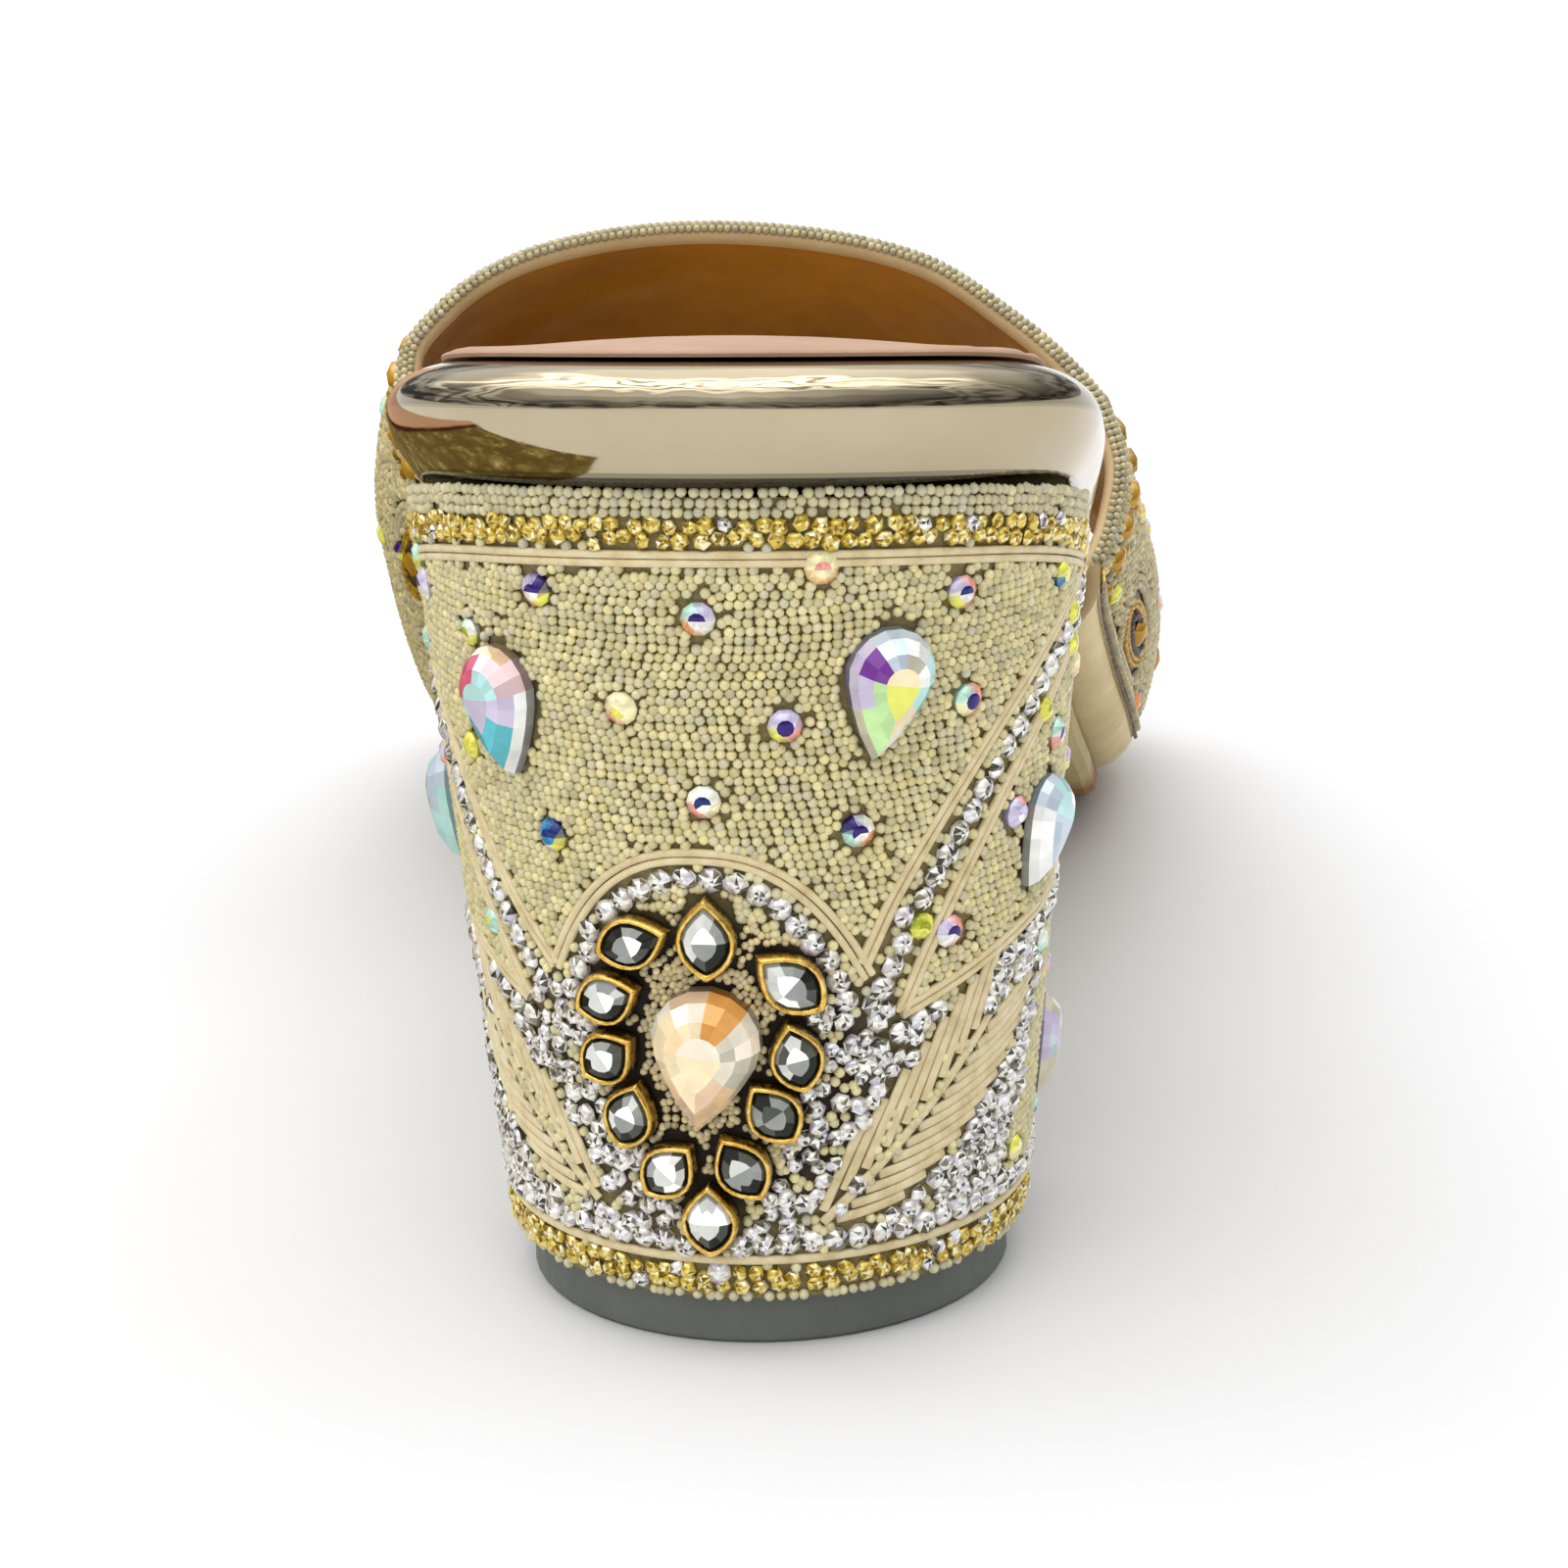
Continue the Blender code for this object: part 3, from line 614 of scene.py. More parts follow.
def make_seed_material():
    look = new_look("seed_beads", Roughness=0.3, Specular_IOR_Level=0.6, Coat_Weight=0.35,
                    Coat_Roughness=0.12)
    spots = look.levels(look.noise(900.0, 2.0), 0.3, 0.75)
    look.put(Base_Color=look.tinted(look.mixed(spots, (0.80, 0.80, 0.80), (1.08, 1.08, 1.06))),
             Roughness=look.levels(look.noise(2500.0), 0.3, 0.7, 0.22, 0.42))
    return look.owner


def make_gem_material(name, metallic, roughness, glow, specular=0.5, coat=0.4):
    """Tinted stones. The glow stands for the light that a foiled or coated stone sends back."""
    look = new_look(name, Roughness=roughness, Metallic=metallic, Specular_IOR_Level=specular,
                    Coat_Weight=coat, Coat_Roughness=0.03)
    cloudy = look.levels(look.noise(500.0, 2.0), 0.35, 0.7)
    colour = look.tinted(look.mixed(cloudy, (0.92, 0.92, 0.93), (1.06, 1.06, 1.05)))
    look.put(Base_Color=colour, Emission_Color=colour, Emission_Strength=glow)
    return look.owner


def make_cord_material():
    look = new_look("cream_cord", Roughness=0.42, Sheen_Weight=0.25)
    look.put(Base_Color=look.colours(look.noise(600.0, 4.0), (
        (0.25, (0.58, 0.45, 0.21)), (0.5, (0.74, 0.61, 0.34)), (0.8, (0.85, 0.75, 0.49)))))
    look.bump(look.noise(5200.0, 2.0, stretch=(1.0, 1.0, 1.6)), 0.35, 0.05)
    return look.owner


def make_bezel_material():
    look = new_look("antique_gold", Metallic=1.0, Roughness=0.3)
    shades = look.colours(look.noise(1500.0, 4.0, 0.65), (
        (0.24, (0.34, 0.17, 0.02)), (0.42, (0.66, 0.40, 0.07)), (0.66, (0.90, 0.64, 0.20))))
    look.put(Base_Color=look.mixed(1.0, shades, look.tint(), "MULTIPLY"),
             Roughness=look.levels(look.noise(3000.0), 0.3, 0.7, 0.2, 0.45))
    look.bump(look.noise(2600.0, 3.0), 0.2, 0.05)
    return look.owner


def make_ground_material():
    """The cloth under the beads, nearly black round the jewelled medallion."""
    look = new_look("heel_cloth", Roughness=0.8)
    away = look.node("ShaderNodeVectorMath", operation="DISTANCE")
    look.join(look.place, away.inputs[0])
    away.inputs[1].default_value = tuple(heel_point(heel_around(AXIS_TURN, 26.0), 26.0) * MM)
    near = look.levels(away.outputs["Value"], 0.012, 0.018)
    cloth = look.colours(look.noise(3200.0, 3.0), (
        (0.3, (0.20, 0.155, 0.06)), (0.7, (0.31, 0.25, 0.105))))
    look.put(Base_Color=look.mixed(near, (0.018, 0.010, 0.004), cloth))
    look.bump(look.noise(4200.0, 2.0), 0.5, 0.1)
    return look.owner


def make_rim_material():
    """Mirror-gold foil over the board, with faint waves and a few hairline scratches."""
    look = new_look("mirror_gold", Metallic=1.0, Roughness=0.08)
    shades = look.colours(look.noise(60.0, 3.0), (
        (0.3, (0.47, 0.405, 0.28)), (0.7, (0.53, 0.46, 0.325))))
    hair = look.node("ShaderNodeTexWave", Vector=look.place, Scale=70.0, Distortion=9.0, Detail=3.0,
                     Detail_Scale=0.6)
    scratch = look.levels(hair.outputs["Fac"], 0.985, 1.0)
    smudge = look.levels(look.noise(140.0, 4.0), 0.42, 0.75, 0.05, 0.15)
    # the Tint attribute carries the painted shade from rim_shades
    look.put(Base_Color=look.mixed(1.0, shades, look.tint(), "MULTIPLY"),
             Roughness=look.maths("MULTIPLY_ADD", scratch, 0.04, smudge))
    look.bump(look.noise(55.0, 2.0, stretch=(0.5, 0.5, 2.2)), 0.35, 0.6)
    look.bump(look.noise(380.0, 2.0, stretch=(0.4, 0.4, 1.5)), 0.12, 0.12)
    return look.owner


def leather(name, dark, light, roughness, metallic=0.0, grain=0.35, scale=1500.0):
    """A grained leather or rubber, with its shades for the looks that mix them further."""
    look = new_look(name, Roughness=roughness, Metallic=metallic)
    look.shades = look.colours(look.noise(90.0, 5.0, 0.6), ((0.3, dark), (0.7, light)))
    cells = look.node("ShaderNodeTexVoronoi", Vector=look.place, Scale=scale, feature="DISTANCE_TO_EDGE")
    look.bump(look.levels(cells.outputs["Distance"], 0.0, 0.35), grain, 0.05)
    look.bump(look.noise(220.0, 4.0), 0.3, 0.25)
    look.put(Base_Color=look.shades, Roughness=look.levels(look.noise(400.0), 0.3, 0.7,
                                                           roughness - 0.06, roughness + 0.08))
    return look


def make_insole_material():
    look = leather("sock_lining", (0.41, 0.25, 0.165), (0.48, 0.315, 0.22), 0.55, grain=0.25,
                   scale=1900.0)
    look.put(Base_Color=look.mixed(look.along_shoe(85.0, 122.0), look.shades, (0.74, 0.68, 0.50)),
             Specular_IOR_Level=0.3)
    return look.owner


def make_lining_material():
    look = leather("tan_lining", (0.29, 0.11, 0.002), (0.39, 0.165, 0.005), 0.6, grain=0.2,
                   scale=1700.0)
    toned = look.mixed(look.tint(), look.shades, (0.42, 0.20, 0.075))
    # broad patches of painted shade and painted light over the lining, standing for its shaded troughs
    painted_light_and_shade = look.mixed(look.levels(look.noise(34.0, 1.0), 0.40, 0.62), (0.86, 0.84, 0.78),
                         (1.15, 1.12, 1.0))
    look.put(Base_Color=look.mixed(1.0, toned, painted_light_and_shade, "MULTIPLY"), Specular_IOR_Level=0.06)
    return look.owner


def make_gold_leather():
    """Soft gold leather, and the dark cloth that carries the upper's embroidery."""
    look = leather("gold_leather", (0.58, 0.44, 0.17), (0.72, 0.57, 0.27), 0.36, 0.4)
    cloth = look.colours(look.noise(3200.0, 3.0), (
        (0.3, (0.055, 0.035, 0.010)), (0.7, (0.13, 0.095, 0.035))))
    tint = look.tint()
    look.put(Base_Color=look.mixed(tint, look.shades, cloth),
             Metallic=look.levels(tint, 0.0, 1.0, 0.65, 0.0))
    return look.owner


def make_outsole_material():
    """Gold leather under the waist, tan sheet from the ball of the foot on."""
    look = leather("outsole_sheet", (0.24, 0.10, 0.022), (0.36, 0.17, 0.05), 0.6, scale=900.0)
    waist = look.colours(look.noise(90.0, 5.0), (
        (0.3, (0.42, 0.33, 0.13)), (0.7, (0.54, 0.43, 0.21))))
    look.put(Base_Color=look.mixed(look.along_shoe(140.0, 146.0), waist, look.shades))
    return look.owner


SEED = make_seed_material()
SILVER = make_gem_material("silver_stones", 0.35, 0.10, 0.05)
AMBER = make_gem_material("amber_stones", 0.45, 0.12, 0.05)
CRYSTAL = make_gem_material("cut_crystal", 0.2, 0.07, 0.14, 0.35, 0.2)
GLASS = make_gem_material("kundan_glass", 0.0, 0.05, 0.26, 0.22, 0.0)
CORD = make_cord_material()
BEZEL = make_bezel_material()
RIM = make_rim_material()
GOLD = make_gold_leather()
INSOLE = make_insole_material()
LINING = make_lining_material()
EDGE = leather("rolled_edge", (0.40, 0.27, 0.12), (0.50, 0.36, 0.18), 0.45, 0.1).owner
TIP = leather("heel_tip_rubber", (0.105, 0.115, 0.098), (0.15, 0.16, 0.14), 0.55,
              scale=2200.0).owner


# the solids that keep their shape and take a finished material
for name, material in (("heel_block", make_ground_material()), ("heel_tip", TIP),
                       ("outsole", make_outsole_material())):
    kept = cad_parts[name].data.materials
    kept.clear()
    kept.append(material)


# ---------------------------------------------------------------- footbed, insole and upper
def softened(edge, passes):
    """An outline with its bends evened out and its outward directions worked out again."""
    loop = edge[:, :2]
    for _ in range(passes):
        loop = 0.5 * loop + 0.25 * (np.roll(loop, 1, 0) + np.roll(loop, -1, 0))
    return with_outward(loop)


def plate_piece(name, lines, step, material, node_name, waves=None, shades=None):
    """A plate that follows the footbed: lines are (inset, height) functions, top to bottom."""
    edge = softened(outline(step), 8)
    rings = []
    for inset, height in lines:
        distance = inset(edge[:, 1])
        back = np.maximum(0.0, edge[:, 1] - edge[:, 3] * distance)
        rings.append(np.stack([edge[:, 0] - edge[:, 2] * distance, BACK_Y - back, height(back)], 1))
    points = np.concatenate(rings)
    if waves is not None:
        points = points + waves(points)
    count = len(edge)
    faces = [list(face) for face in ring_faces(len(lines), count)]
    # both flat faces are strips from the medial to the lateral side
    for start, flip in ((0, True), ((len(lines) - 1) * count, False)):
        strips = [[start, start + 1, start + count - 1]]
        left, right = 1, count - 1
        while right - left > 2:
            strips.append([start + left, start + left + 1, start + right - 1, start + right])
            left += 1
            right -= 1
        if right - left == 2:
            strips.append([start + left, start + left + 1, start + right])
        faces += [strip[::-1] if flip else strip for strip in strips]
    tints = None
    if shades is not None:
        tints = np.ones((len(faces), 3))
        tints[:count * (len(lines) - 1)] = shades(edge[:, 1]).reshape(-1, 3)
    return add_mesh(name, points, faces, [material], tints, replaces=(node_name,),
                    sharp=50.0)


TOE_INSET = 1.5
RIM_LINE_SPREAD = 0.45
RIM_STEPS = np.linspace(0.0, 8.0, 49)
RIM_MIDDLES = 0.5 * (RIM_STEPS[1:] + RIM_STEPS[:-1])


def past_band(back):
    """Rises to 1 in front of the band, where the rim goes down to the outsole."""
    return ramp(186.0, 189.5, back)


def rim_line(line):
    """A line of the rim, from 0 on top to 8 underneath, its profile rounded a little."""
    near = np.clip(line + RIM_LINE_SPREAD * np.linspace(-1.0, 1.0, 7), 0.0, 8.0)
    seat_inset, seat_depth, fore_inset, fore_depth = (
        float(np.mean(smooth(RIM_ROWS, column, near))) for column in (1, 2, 3, 4))
    toe_inset = min(fore_inset, TOE_INSET)

    def inset(back):
        behind_toe = seat_to_fore(seat_inset, fore_inset, back)
        return behind_toe + (toe_inset - behind_toe) * past_band(back)

    def height(back):
        return footbed_top(back) - seat_to_fore(seat_depth, fore_depth, back) * steepness(back)

    return inset, height


def rim_shades(back):
    """Painted shade on the rim's faces: darker underneath up to the band's front, and darker round its
    bend.
    """
    # painted shade: the underside stands for the dark heel top mirrored there, and the bend's shade dims
    # the mirrored highlight
    bottom = 0.88 * ramp(6.05, 6.45, RIM_MIDDLES)[:, None] * (1.0 - past_band(back))
    corner = 0.45 * ramp(2.1, 2.6, RIM_MIDDLES) * ramp(3.8, 3.4, RIM_MIDDLES)
    return (1.0 - bottom - corner[:, None])[:, :, None] * np.array([1.0, 0.98, 0.94])


plate_piece("footbed_rim", [rim_line(line) for line in RIM_STEPS], 1.2, RIM,
            "footbed", shades=rim_shades)

INSOLE_SEAT_INSET = 4.6
INSOLE_FORE_INSET = 1.6
GLUED_RISE = 0.8
INSOLE_LINES = (
    # inset from the pad's edge, rise over the footbed
    (23.0, 2.9), (20.0, 2.84), (17.0, 2.66), (14.0, 2.38), (11.0, 2.0), (8.5, 1.62), (6.5, 1.32),
    (4.5, 1.08), (3.0, 0.95), (1.8, 0.86), (1.0, 0.78), (0.45, 0.66), (0.1, 0.48), (0.0, 0.3),
    (0.15, 0.0), (1.0, 0.0),
)
INSOLE_CREASES = (
    # back, depth, slant
    (92.0, 0.35, 0.25), (104.0, 0.28, -0.2), (150.0, 0.25, 0.1),
)


def insole_line(inset, rise):
    """A line of the padded insole. The pad domes less in front than at the seat."""
    def place(back):
        return seat_to_fore(INSOLE_SEAT_INSET, INSOLE_FORE_INSET, back) + inset

    def height(back):
        dome = seat_to_fore(0.62, 0.4, back) * max(0.0, rise - GLUED_RISE)
        return footbed_top(back) + GAP + min(rise, GLUED_RISE) + dome

    return place, height


def insole_waves(points):
    """Shallow creases across the waist and small puckers along the stuck edge."""
    back = BACK_Y - points[:, 1]
    across = points[:, 0] - footbed_centre(back)
    near_edge = np.clip(2.0 - (footbed_half(back) - np.abs(across)) / 5.0, 0.0, 1.0)
    lift = 0.14 * near_edge * np.sin(0.9 * points[:, 1] + 2.0 * np.sin(0.23 * points[:, 0]))
    for centre, depth, slant in INSOLE_CREASES:
        lift -= depth * np.exp(-((back - centre - slant * across) / 2.2) ** 2)
    lift = np.where(points[:, 2] > footbed_top(back) + GLUED_RISE, lift, 0.0)
    return lift[:, None] * np.array([0.0, 0.0, 1.0])


insole = plate_piece("insole_pad", [insole_line(*line) for line in INSOLE_LINES], 2.0, INSOLE,
                     "insole", insole_waves)

# the share of the way from the crown to the end of the flange that carries embroidery
EMBROIDERED = 0.82
UPPER_CREASES = (
    # back, around, spread round the band, depth, width
    (140.0, 0.25, 0.16, 0.55, 2.6), (148.0, 0.32, 0.18, 0.45, 2.4),
    (139.0, -0.30, 0.14, 0.45, 2.4), (150.0, -0.36, 0.16, 0.5, 2.8),
    (134.0, 0.05, 0.10, 0.3, 2.2),
)
LIP_STEPS = 6


def upper_creases(back, around):
    """Soft troughs where the band bends with the foot, in millimetres along the normal."""
    depth = np.zeros(np.broadcast(back, around).shape)
    for centre, middle, spread, amount, width in UPPER_CREASES:
        line = centre + 22.0 * (around - middle)
        depth = depth - amount * np.exp(-((back - line) / width) ** 2
                                        - ((around - middle) / spread) ** 2)
    return depth


def make_upper():
    """The hollow band: gold leather outside, rolled edges, and the tan lining inside."""
    arounds = np.concatenate([np.linspace(-1.0, -0.72, 22)[:-1], np.linspace(-0.72, 0.72, 131),
                              np.linspace(0.72, 1.0, 22)[1:]])
    steps = 64
    back, front = topline(arounds), toe_opening(arounds)
    u = np.linspace(0.0, 1.0, steps + 1)
    places = back[:, None] + (front - back)[:, None] * u[None, :]
    turn = np.repeat(arounds[:, None], steps + 1, 1)
    surface, normal = upper_point(places, turn), upper_normal(places, turn)
    fade = (ramp(0.0, 0.12, u) * (1.0 - ramp(0.9, 1.0, u)))[None, :, None]
    crease = upper_creases(places, turn)[:, :, None] * fade
    outer, inner = surface + normal * crease, surface - normal * (WALL - 0.6 * crease)
    ahead = unit(upper_point(places + 0.2, turn) - upper_point(places - 0.2, turn))

    def rolled(column, side):
        """The round lip that joins the outside and the lining at one edge."""
        middle = 0.5 * (outer[:, column] + inner[:, column])
        out = 0.5 * (outer[:, column] - inner[:, column])
        lip = ahead[:, column] * side * 0.9
        bends = math.pi * np.arange(1, LIP_STEPS) / LIP_STEPS
        return np.stack([middle + math.cos(b) * out + math.sin(b) * lip for b in bends], 1)

    grid = np.concatenate([outer, rolled(-1, 1.0), inner[:, ::-1], rolled(0, -1.0)[:, ::-1]], 1)
    rows, count = grid.shape[:2]
    index = np.arange(rows * count).reshape(rows, count)
    after = np.roll(index, -1, 1)
    faces = np.stack([index[:-1], after[:-1], after[1:], index[1:]], -1).reshape(-1, 4)
    # materials: 0 gold leather, 1 lining, 2 rolled edge
    kinds = np.zeros((rows - 1, count), int)
    kinds[:, steps:steps + LIP_STEPS] = 2
    kinds[:, steps + LIP_STEPS:2 * steps + LIP_STEPS] = 1
    kinds[:, 2 * steps + LIP_STEPS:] = 2
    kinds = kinds.ravel()
    share = np.repeat(np.abs(arounds[:-1]), count)
    lip = np.full(LIP_STEPS - 1, 2.0)
    where = np.tile(np.concatenate([u, lip, u[::-1], lip]), rows - 1)
    cloth = (share < EMBROIDERED) & (where > 0.03) & (where < 0.93)
    pale = np.where(kinds == 1, ramp(0.44, 0.74, share), np.where(cloth, 1.0, 0.0))
    add_mesh("upper_shell", grid.reshape(-1, 3),
             [list(face) for face in faces] + [list(index[0, ::-1]), list(index[-1])],
             [GOLD, LINING, EDGE], np.concatenate([pale, [1.0, 1.0]])[:, None],
             np.concatenate([kinds, [1, 1]]), replaces=("upper",), sharp=60.0)


make_upper()


# ---------------------------------------------------------------- jewels of the heel
# facet colours: K, D, M, L, W, k and w, from black to white, are painted reflections and highlights; a
# drop's tones of one colour are painted light and shade across its facets
GEMS = {
    "w": (0.86, 0.87, 0.84), "a": (0.46, 0.74, 0.72), "t": (0.10, 0.46, 0.52),
    "v": (0.20, 0.05, 0.32), "l": (0.58, 0.52, 0.68), "g": (0.50, 0.76, 0.34),
    "y": (0.80, 0.80, 0.14), "c": (0.93, 0.77, 0.49), "p": (0.80, 0.58, 0.60),
    "r": (0.58, 0.10, 0.18), "o": (0.76, 0.36, 0.09), "b": (0.52, 0.60, 0.68),
    "s": (0.58, 0.54, 0.42), "e": (0.68, 0.49, 0.31), "h": (0.88, 0.62, 0.36),
    "u": (0.88, 0.80, 0.64), "i": (0.86, 0.62, 0.41), "K": (0.012, 0.013, 0.010),
    "D": (0.07, 0.075, 0.06), "M": (0.27, 0.28, 0.26), "L": (0.60, 0.61, 0.57),
    "W": (0.98, 0.98, 0.95), "k": (0.10, 0.09, 0.10),
}
# each chart paints its facets' light: painted reflections, highlights and shade over the stone's colour
CUT_ROWS = {
    # bevel, outer and inner crown (eighths from the top round by the medial side), table (two halves)
    "drop_centre": ("euicisuo", "uccihsuo", "chcciuso", "uc"),
    "drop_back_lateral": ("bllswwab", "bvlgwtaw", "bvggcaws", "cy"),
    "drop_back_medial": ("wkoewwpe", "rroetlpp", "rrattlaa", "al"),
    "drop_low_lateral": ("sllsbsls", "slbssbls", "bslssbll", "sl"),
    "drop_side_lateral": ("bbwwaabw", "abwwaaab", "aabbwaaw", "ab"),
    "drop_side_medial": ("wbbwaabb", "bawwabba", "aabwwaab", "ba"),
    "kundan_01": ("", "MMDKKKDM", "LLLDKKML", "WM"),
    "kundan_02": ("", "KKKKKKKD", "KMKKKMDK", "WM"),
    "kundan_03": ("", "KMMKKKKD", "LMLKKKKM", "WL"),
    "kundan_04": ("", "KKDKKKKK", "DMLKKKDD", "WL"),
    "kundan_05": ("", "DKDKKKDD", "MDLDKDML", "WM"),
    "kundan_06": ("", "DMDKKMKK", "LWMKDWLD", "WL"),
    "kundan_07": ("", "MLDKKKLM", "LWLDKDWL", "WL"),
    "kundan_08": ("", "KKKKKDKK", "KDMKKMDK", "LM"),
    "kundan_09": ("", "KMKKKKDK", "KMDKKDMK", "DM"),
    "kundan_10": ("", "DMDKKKDK", "LDLKKKDL", "WM"),
    "kundan_11": ("", "MLMDKKDM", "LLWMDKML", "WM"),
}
# the shade column paints light on the setting: painted shade on the outer and inner walls, a painted
# highlight along the lip
SETTING_RINGS = (
    # size, share of the height, shade
    (1.0, 0.0, 0.2), (1.05, 0.35, 0.35), (1.04, 0.74, 0.62), (0.98, 0.96, 1.0), (0.91, 1.0, 1.3),
    (0.84, 0.90, 1.1), (0.81, 0.5, 0.3),
)
# what lies on the heel, as (point, radius)
TAKEN = []


def take(points, radius):
    """Keeps what is laid later off places on the heel."""
    TAKEN.extend((Vector(point), float(radius)) for point in np.atleast_2d(points))


def jewel_axes(turn, height, lean):
    """Middle of a jewel's back on the heel, and its directions across, along and out."""
    around = heel_around(turn, height)
    ahead = unit(heel_point(around + 0.005, height) - heel_point(around - 0.005, height))
    out = heel_normal(around, height)
    up = np.cross(ahead, out)
    c, s = math.cos(math.radians(lean)), math.sin(math.radians(lean))
    return heel_point(around, height) + GAP * out, c * ahead - s * up, c * up + s * ahead, out


def pear_outline(length, width, sides):
    """A drop, as (across, along): round above, with sides that run nearly straight to its point."""
    radius = 0.5 * width
    middle = 0.5 * length - radius
    leave = math.pi - math.acos(radius / (length - radius))
    points = []
    for turn in 2.0 * math.pi * np.arange(sides) / sides:
        share = min(turn, 2.0 * math.pi - turn)
        x = radius * math.sin(min(share, leave))
        y = middle + radius * math.cos(min(share, leave))
        if share > leave:
            u = (share - leave) / (math.pi - leave)
            x = x * (1.0 - u) + 0.05 * width * math.sin(math.pi * u)
            y = y * (1.0 - u) - 0.5 * length * u
        points.append((x if turn <= math.pi else -x, y))
    return np.array(points)


def marquise_outline(length, width, sides):
    """A pointed oval, sharper at its upper end."""
    turn = 2.0 * math.pi * np.arange(sides) / sides
    y = np.cos(turn)
    share = np.abs(y)
    reach = np.where(y > 0.0, 1.0 - share**1.75, (1.0 - share**2.3) ** 0.85)
    return np.stack([0.5 * width * np.sign(np.sin(turn)) * reach, 0.5 * length * y], 1)


def stacked(axes, outline, rings, centre=0.0):
    """The points of an outline repeated in rings of (size, height) over a jewel's back."""
    back, across, along, out = axes
    points = []
    for size, rise in rings:
        flat = centre + (outline - centre) * size
        points += [back + x * across + y * along + rise * out for x, y in flat]
    return points


def add_cut(name, axes, outline, rings, tilt, letters, material, replaces=()):
    """A cut stone. Its rings are a girdle and rim, crown lines and a table, shifted by the tilt."""
    sides = len(outline)
    faces = [list(face) for face in ring_faces(len(rings), sides)]
    charts = [letters[0], letters[0], letters[1], letters[2]][5 - len(rings):]
    tints = []
    for ring, pattern in enumerate(charts):
        # a drop's girdle band is darkened: painted shade
        shade = 0.3 if ring == 0 and letters[0] else 1.0
        for i in range(sides):
            tints.append(shade * np.array(GEMS[pattern[i * 8 // sides]]) * RANDOM.uniform(0.86, 1.1))
    last = (len(rings) - 1) * sides
    half = sides // 4
    faces += [[last + i % sides for i in range(3 * half, sides + half + 1)],
              [last + i for i in range(half, 3 * half + 1)], list(reversed(range(sides)))]
    tints += [np.array(GEMS[letters[3][0]]), np.array(GEMS[letters[3][1]]), np.full(3, 0.05)]
    add_mesh(name, stacked(axes, outline, rings, np.array([0.0, tilt])), faces, [material],
             np.array(tints), smoothed=False, replaces=replaces)


def make_drop(name, turn, height, lean, length, width, depth):
    """A pear-shaped cut stone with a thin bevel, two rings of crown facets and a small table."""
    axes = jewel_axes(turn, height, lean)
    rings = ((1.0, 0.0), (1.0, 0.26 * depth), (0.90, 0.56 * depth), (0.66, 0.88 * depth), (0.40, depth))
    add_cut(name + "_cut", axes, pear_outline(length - 0.5, width - 0.5, 16), rings, 0.12 * length,
            CUT_ROWS[name], CRYSTAL, (name,))
    back, across, along = axes[:3]
    for level in length * np.linspace(-0.46, 0.46, 9):
        wide = np.interp(level, [-0.5 * length, 0.0, 0.15 * length, 0.5 * length],
                         [0.2, 0.46 * width, 0.5 * width, 0.12 * width])
        for share in np.linspace(-1.0, 1.0, 5):
            take(back + share * max(0.0, wide - 0.7) * across + level * along, min(0.8, wide + 0.1))


def make_kundan(name, turn, height, lean, length, width, depth):
    """A pointed-oval glass, foiled behind, in a raised antique-gold setting."""
    axes = jewel_axes(turn, height, lean)
    sides = 24
    rings = [(size, rise * 0.80 * depth) for size, rise, _ in SETTING_RINGS]
    # the setting's tints are its painted shade and painted highlight
    shades = np.array([row[2] for row in SETTING_RINGS])
    tints = np.repeat(0.5 * (shades[1:] + shades[:-1]), sides)
    faces = [list(face) for face in ring_faces(len(rings), sides)] + [list(reversed(range(sides)))]
    add_mesh(name + "_setting", stacked(axes, marquise_outline(length, width, sides), rings), faces,
             [BEZEL], np.append(tints, 0.1)[:, None], replaces=(name,), sharp=80.0)
    # the glass's black, grey and white facets are painted reflections
    rings = ((1.0, 0.50 * depth), (0.84, 0.78 * depth), (0.50, 0.95 * depth))
    add_cut(name + "_glass", axes, marquise_outline(0.86 * length, 0.86 * width, 16), rings, 0.0,
            CUT_ROWS[name], GLASS)
    back, across, along = axes[:3]
    for level in np.linspace(-0.42, 0.42, 5):
        wide = 0.5 * width * (1.0 - abs(2.0 * level) ** 1.9)
        take(back + level * length * along, max(0.5, wide) + 0.25)
        take(back + 0.4 * wide * across + level * length * along, 0.6 * wide + 0.35)


for row in JEWEL_ROWS:
    make = make_drop if row[0].startswith("drop") else make_kundan
    make(*row)


# ---------------------------------------------------------------- cords of the heel's embroidery
ARCH_FOOT = 33.8
ARCH_RISE = 11.5
ARCH_HALF = 32.0
CORD_STEP = 0.8
TOP_CORD_DEPTH = 5.0
FOOT_CORD_HEIGHT = 8.5
# knots of (turn, height) along the lines that run round from the arch to the heel's sides
OUTER_LATERAL = ((-26.5, 35.0), (-32.5, 40.5), (-46.0, 49.0), (-60.0, 55.5), (-78.0, 61.0),
                 (-95.0, 64.0))
INNER_LATERAL = ((-34.5, 30.0), (-40.5, 35.5), (-50.0, 42.5), (-62.5, 49.5), (-80.0, 56.0),
                 (-98.0, 60.0))
LOWER_LATERAL = ((-34.5, 30.0), (-49.0, 32.0), (-73.0, 34.5), (-100.0, 36.0), (-130.0, 36.0))
OUTER_MEDIAL = ((36.5, 33.8), (49.5, 40.5), (61.5, 48.5), (77.0, 56.5), (95.0, 62.0), (108.0, 64.0))
INNER_MEDIAL = ((46.0, 30.0), (55.0, 35.5), (66.0, 42.5), (80.0, 50.0), (98.0, 57.0), (112.0, 60.0))
LOWER_MEDIAL = ((46.0, 30.0), (60.0, 32.0), (84.0, 34.5), (110.0, 36.0), (130.0, 36.0))
